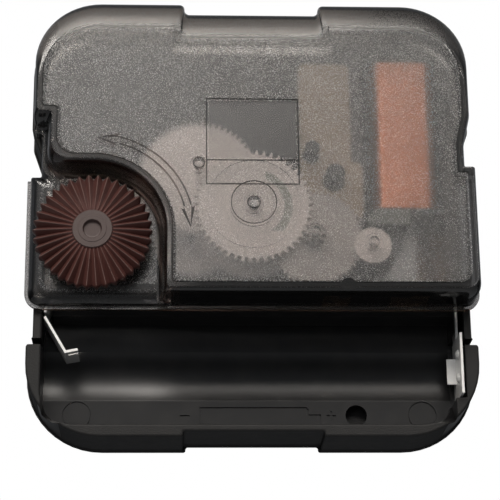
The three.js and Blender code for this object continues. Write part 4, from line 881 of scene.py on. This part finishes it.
def builtKnob():
    # a wave, 1 on a crest and 0 in a groove, lowers the rows and draws the edge in; the
    # grooves deepen evenly outward while the crests fall with a power of the way out
    s = knobSpec
    steps, rim = s["ribs"] * s["ribSteps"], s["edgeRound"]
    angle = np.arange(steps) * 2 * np.pi / steps
    wave = np.abs(((angle * s["ribs"] / (2 * np.pi)) % 1) - 0.5) * 2
    wave = np.clip(wave * s["crestWidth"], 0, 1) ** s["crestSharp"]
    edge = s["radius"] - s["serration"] * (1 - wave)
    rows = [(radius, depth, 0) for radius, depth in s["hubRows"]]
    rows.append((s["hub"] + s["hubEdge"], s["top"] - s["grooveStart"] * (1 - wave), 0))
    for share in np.linspace(s["ribStart"], 1, s["ribRows"]):
        fall = s["grooveStart"] + (s["groove"] - s["grooveStart"]) * share
        depth = s["top"] + (s["edgeTop"] - s["top"]) * share ** s["slope"] - fall * (1 - wave)
        rows.append((s["hub"] + (edge - rim - s["hub"]) * share, depth, wave))
    last = rows[-1][1]
    for share, rise in easing(s["edgeSteps"])[1:]:
        rows.append((edge - rim + rim * rise, last - s["edgeDrop"] * share,
                     wave * (1 - s["edgeFade"] * rise)))
    rows.append((edge, s["front"] + s["skirt"], wave * s["skirtCrest"]))
    rows.append((edge - s["skirt"], s["front"], 0))
    rows += [(radius, depth, 0) for radius, depth in s["shaftRows"]]
    radius, depth, crest = (np.array([np.broadcast_to(row[part], steps) for row in rows])
                            for part in range(3))
    across, height = radius * np.cos(angle) + knobPlace[0], radius * np.sin(angle) + knobPlace[1]
    mesh = gridMesh("settingKnob", np.stack([across, -depth, height], 2))
    crests = mesh.attributes.new("crest", "FLOAT", "POINT")
    crests.data.foreach_set("value", crest.reshape(-1).astype(np.float32))
    return linked("settingKnob", mesh)


finished(builtKnob(), "knob", "knob_plastic", ["setting_knob"], 40)
print("knob built")


# Coil: one long wire wound as the outer layer, over the plain core
coilSpec = {
    "across": 19.2, "depth": 7, "low": 0.6, "high": 20.6, "halfWidth": 3.95, "halfDepth": 3.1,
    "corner": 1.35, "cornerSteps": 7, "wire": 0.13, "turns": 72, "sides": 5,
}


def woundWire():
    # the centre line climbs evenly while it follows a rounded rectangle round the bobbin
    s = coilSpec
    wide, deep, corner = (s[size] - s["wire"] for size in ("halfWidth", "halfDepth", "corner"))
    loop = roundedOutline([[wide, deep, corner], [-wide, deep, corner],
                           [-wide, -deep, corner], [wide, -deep, corner]], s["cornerSteps"])
    count = len(loop)
    index = np.arange(s["turns"] * count + 1)
    flat = loop[index % count]
    low, high = s["low"] + s["wire"], s["high"] - s["wire"]
    climb = low + (high - low) * index / index[-1]
    along = unit(loop[(index + 1) % count] - loop[(index - 1) % count])
    outward = np.stack([-along[:, 1], along[:, 0]], 1)
    angle = np.arange(s["sides"]) * 2 * np.pi / s["sides"]
    swing = outward[:, None, :] * (np.cos(angle) * s["wire"])[None, :, None]
    x = s["across"] + flat[:, None, 0] + swing[..., 0]
    y = -(s["depth"] + flat[:, None, 1] + swing[..., 1])
    z = climb[:, None] + (np.sin(angle) * s["wire"])[None, :]
    return meshFrom("coilWinding", np.stack([x, y, z], 2))


finished(woundWire(), "movement_case", "copper_wire", ["coil_outer_layer"], 60)
print("coil wound")


# Threaded stem: the helical thread is a wave that shifts round the stem as it climbs
stemSpec = {
    "radius": 4, "thread": 0.42, "pitch": 0.75, "length": 11, "bore": 2.8, "flange": 5.2,
    "seat": 1.6, "flangeDeep": 0.7, "steps": 72, "rows": 230, "gap": 0.05, "flank": 2.3,
    "root": 0.1, "leadIn": 0.6, "plain": 0.3, "leadOut": 0.8, "chamfer": 0.15,
}


def builtStem():
    # the ridge is cut off flat at its crest and its root, and fades out at both ends
    s = stemSpec
    steps, end, under = s["steps"], s["seat"] + s["flangeDeep"], s["radius"] - s["thread"]
    angle = np.arange(steps) * 2 * np.pi / steps
    depth = np.linspace(-s["length"], s["seat"] - s["gap"], s["rows"])
    phase = (depth[:, None] / s["pitch"] + angle[None, :] / (2 * np.pi)) % 1
    ridge = np.clip(np.abs(phase - 0.5) * s["flank"] - s["root"], 0, 1)
    fade = np.clip((depth + s["length"]) / s["leadIn"], 0, 1)
    fade *= np.clip((s["seat"] - s["plain"] - depth) / s["leadOut"], 0, 1)
    head = np.array([[s["bore"], -s["length"]], [under - s["chamfer"], -s["length"]]])
    tail = np.array([[s["flange"], s["seat"]], [s["flange"], end], [s["bore"], end]])
    radii = np.concatenate([np.repeat(head[:, :1], steps, 1),
                            under + s["thread"] * ridge * fade[:, None],
                            np.repeat(tail[:, :1], steps, 1)])
    depths = np.repeat(np.concatenate([head[:, 1], depth, tail[:, 1]])[:, None], steps, 1)
    grid = np.stack([radii * np.cos(angle), -depths, radii * np.sin(angle)], 2)
    return meshFrom("threadedStem", grid, True)


finished(builtStem(), "movement_case", "brass", ["threaded_stem"], 35)
print("stem built")

# CAD pieces that stay as they are take their slot's material
slotOf = {part["node"]: part["material_slot"] for part in frame["record"]["subparts"]}
for nodeName, node in frame["nodes"].items():
    if nodeName not in replacedNodes:
        node.data.materials.clear()
        node.data.materials.append(ownLooks.get(nodeName, looks[slotOf[nodeName]]))
print("CAD pieces dressed")


# Studio: pale floor, soft light from above and a bright room
studio = {
    "floorHeight": -1.6, "floorSize": 4.0, "floorGlow": (0.45, 0.45, 0.45), "paperRough": 0.8,
    "paperGrain": (3, 2), "paperTones": ((0.78, 0.78, 0.78), (0.82, 0.82, 0.82)),
    "backdrop": 1.0, "backdropColour": (1, 1, 1, 1), "skyColour": (0.93, 0.96, 1, 1),
    "ground": 0.02, "sky": 0.22, "horizon": (-0.1, 0.35),
}
size, level = studio["floorSize"], studio["floorHeight"]
floorMesh = bpy.data.meshes.new("studioFloor")
floorMesh.from_pydata([(-size, -size, level), (size, -size, level),
                       (size, size, level), (-size, size, level)], [], [(0, 1, 2, 3)])
studioFloor = linked("studioFloor", floorMesh)
paper = Finish("studioPaper", Roughness=studio["paperRough"], Emission_Strength=1.0)
seenByEye = paper.node("ShaderNodeLightPath")
paper.set("Emission Color", paper.mixed(seenByEye, (0, 0, 0), studio["floorGlow"]))
paper.set("Base Color", paper.mixed(paper.noise(*studio["paperGrain"]), *studio["paperTones"]))
floorMesh.materials.append(paper.material)

# the room is white where the camera looks and dim where it lights the part
world = bpy.data.worlds.new("studioRoom")
room = Nodes(world)
seen, output = (room.tree.nodes[name] for name in ("Background", "World Output"))
seen.inputs["Strength"].default_value = studio["backdrop"]
seen.inputs["Color"].default_value = studio["backdropColour"]
horizon, zenith = studio["horizon"]
glow = room.node("ShaderNodeMapRange", {
    "Value": room.axes(room.node("ShaderNodeTexCoord"))[2], "From Min": horizon,
    "From Max": zenith, "To Min": studio["ground"], "To Max": studio["sky"]})
dim = room.node("ShaderNodeBackground", {"Color": studio["skyColour"], "Strength": glow})
light = room.node("ShaderNodeMixShader", {
    0: room.node("ShaderNodeLightPath"), 1: dim, 2: Wire(room, seen.outputs[0])})
room.tree.links.new(light.socket, output.inputs["Surface"])
bpy.context.scene.world = world


def softBox(name, place, power, size=(0.5, 0.4), target=(0, -0.01, 0), colour=(1, 1, 1)):
    # a rectangular lamp that faces its target
    lamp = bpy.data.lights.new(name, "AREA")
    lamp.shape, lamp.size, lamp.size_y = "RECTANGLE", *size
    lamp.energy, lamp.color = power, colour
    box = linked(name, lamp)
    box.location = place
    box.rotation_euler = (Vector(target) - Vector(place)).to_track_quat("-Z", "Y").to_euler()
    return box


softBox("keyBox", (-0.12, -0.58, 0.52), power=6.8, size=(0.95, 0.24), colour=(1.0, 0.95, 0.89))
fillBox = softBox("fillBox", (-0.22, -0.75, 0.22), power=1.8)
fillBox.visible_glossy = False
rearBox = softBox("rearBox", (0.25, 0.60, 0.60), power=9.0, target=(0, 0, 0))
rearBox.visible_glossy = rearBox.visible_transmission = False

# Camera: fitted to the photograph, a little below the movement and looking up at it
view = {
    "distance": 240.379, "below": 19.7, "aside": -2.492, "roll": -0.599, "lens": 134.466,
    "sensor": 36, "shift": (0.0009, -0.0205), "nearest": 0.005,
}
below, aside, roll = (math.radians(view[key]) for key in ("below", "aside", "roll"))
back = Vector((math.sin(aside) * math.cos(below),
               -math.cos(aside) * math.cos(below), -math.sin(below)))
right = Vector((0, 0, 1)).cross(back).normalized()
up = back.cross(right)
cosine, sine = math.cos(roll), math.sin(roll)
lens = bpy.data.cameras.new("photoCamera")
lens.lens, lens.sensor_width = view["lens"], view["sensor"]
lens.shift_x, lens.shift_y = view["shift"]
lens.clip_start = view["nearest"]
camera = linked("photoCamera", lens)
turn = Matrix((right * cosine + up * sine, up * cosine - right * sine, back))
turn = turn.transposed().to_4x4()
camera.matrix_world = Matrix.Translation(back * view["distance"] * mm) @ turn
bpy.context.scene.camera = camera
bpy.context.scene.view_settings.view_transform = "Standard"
print("studio ready")
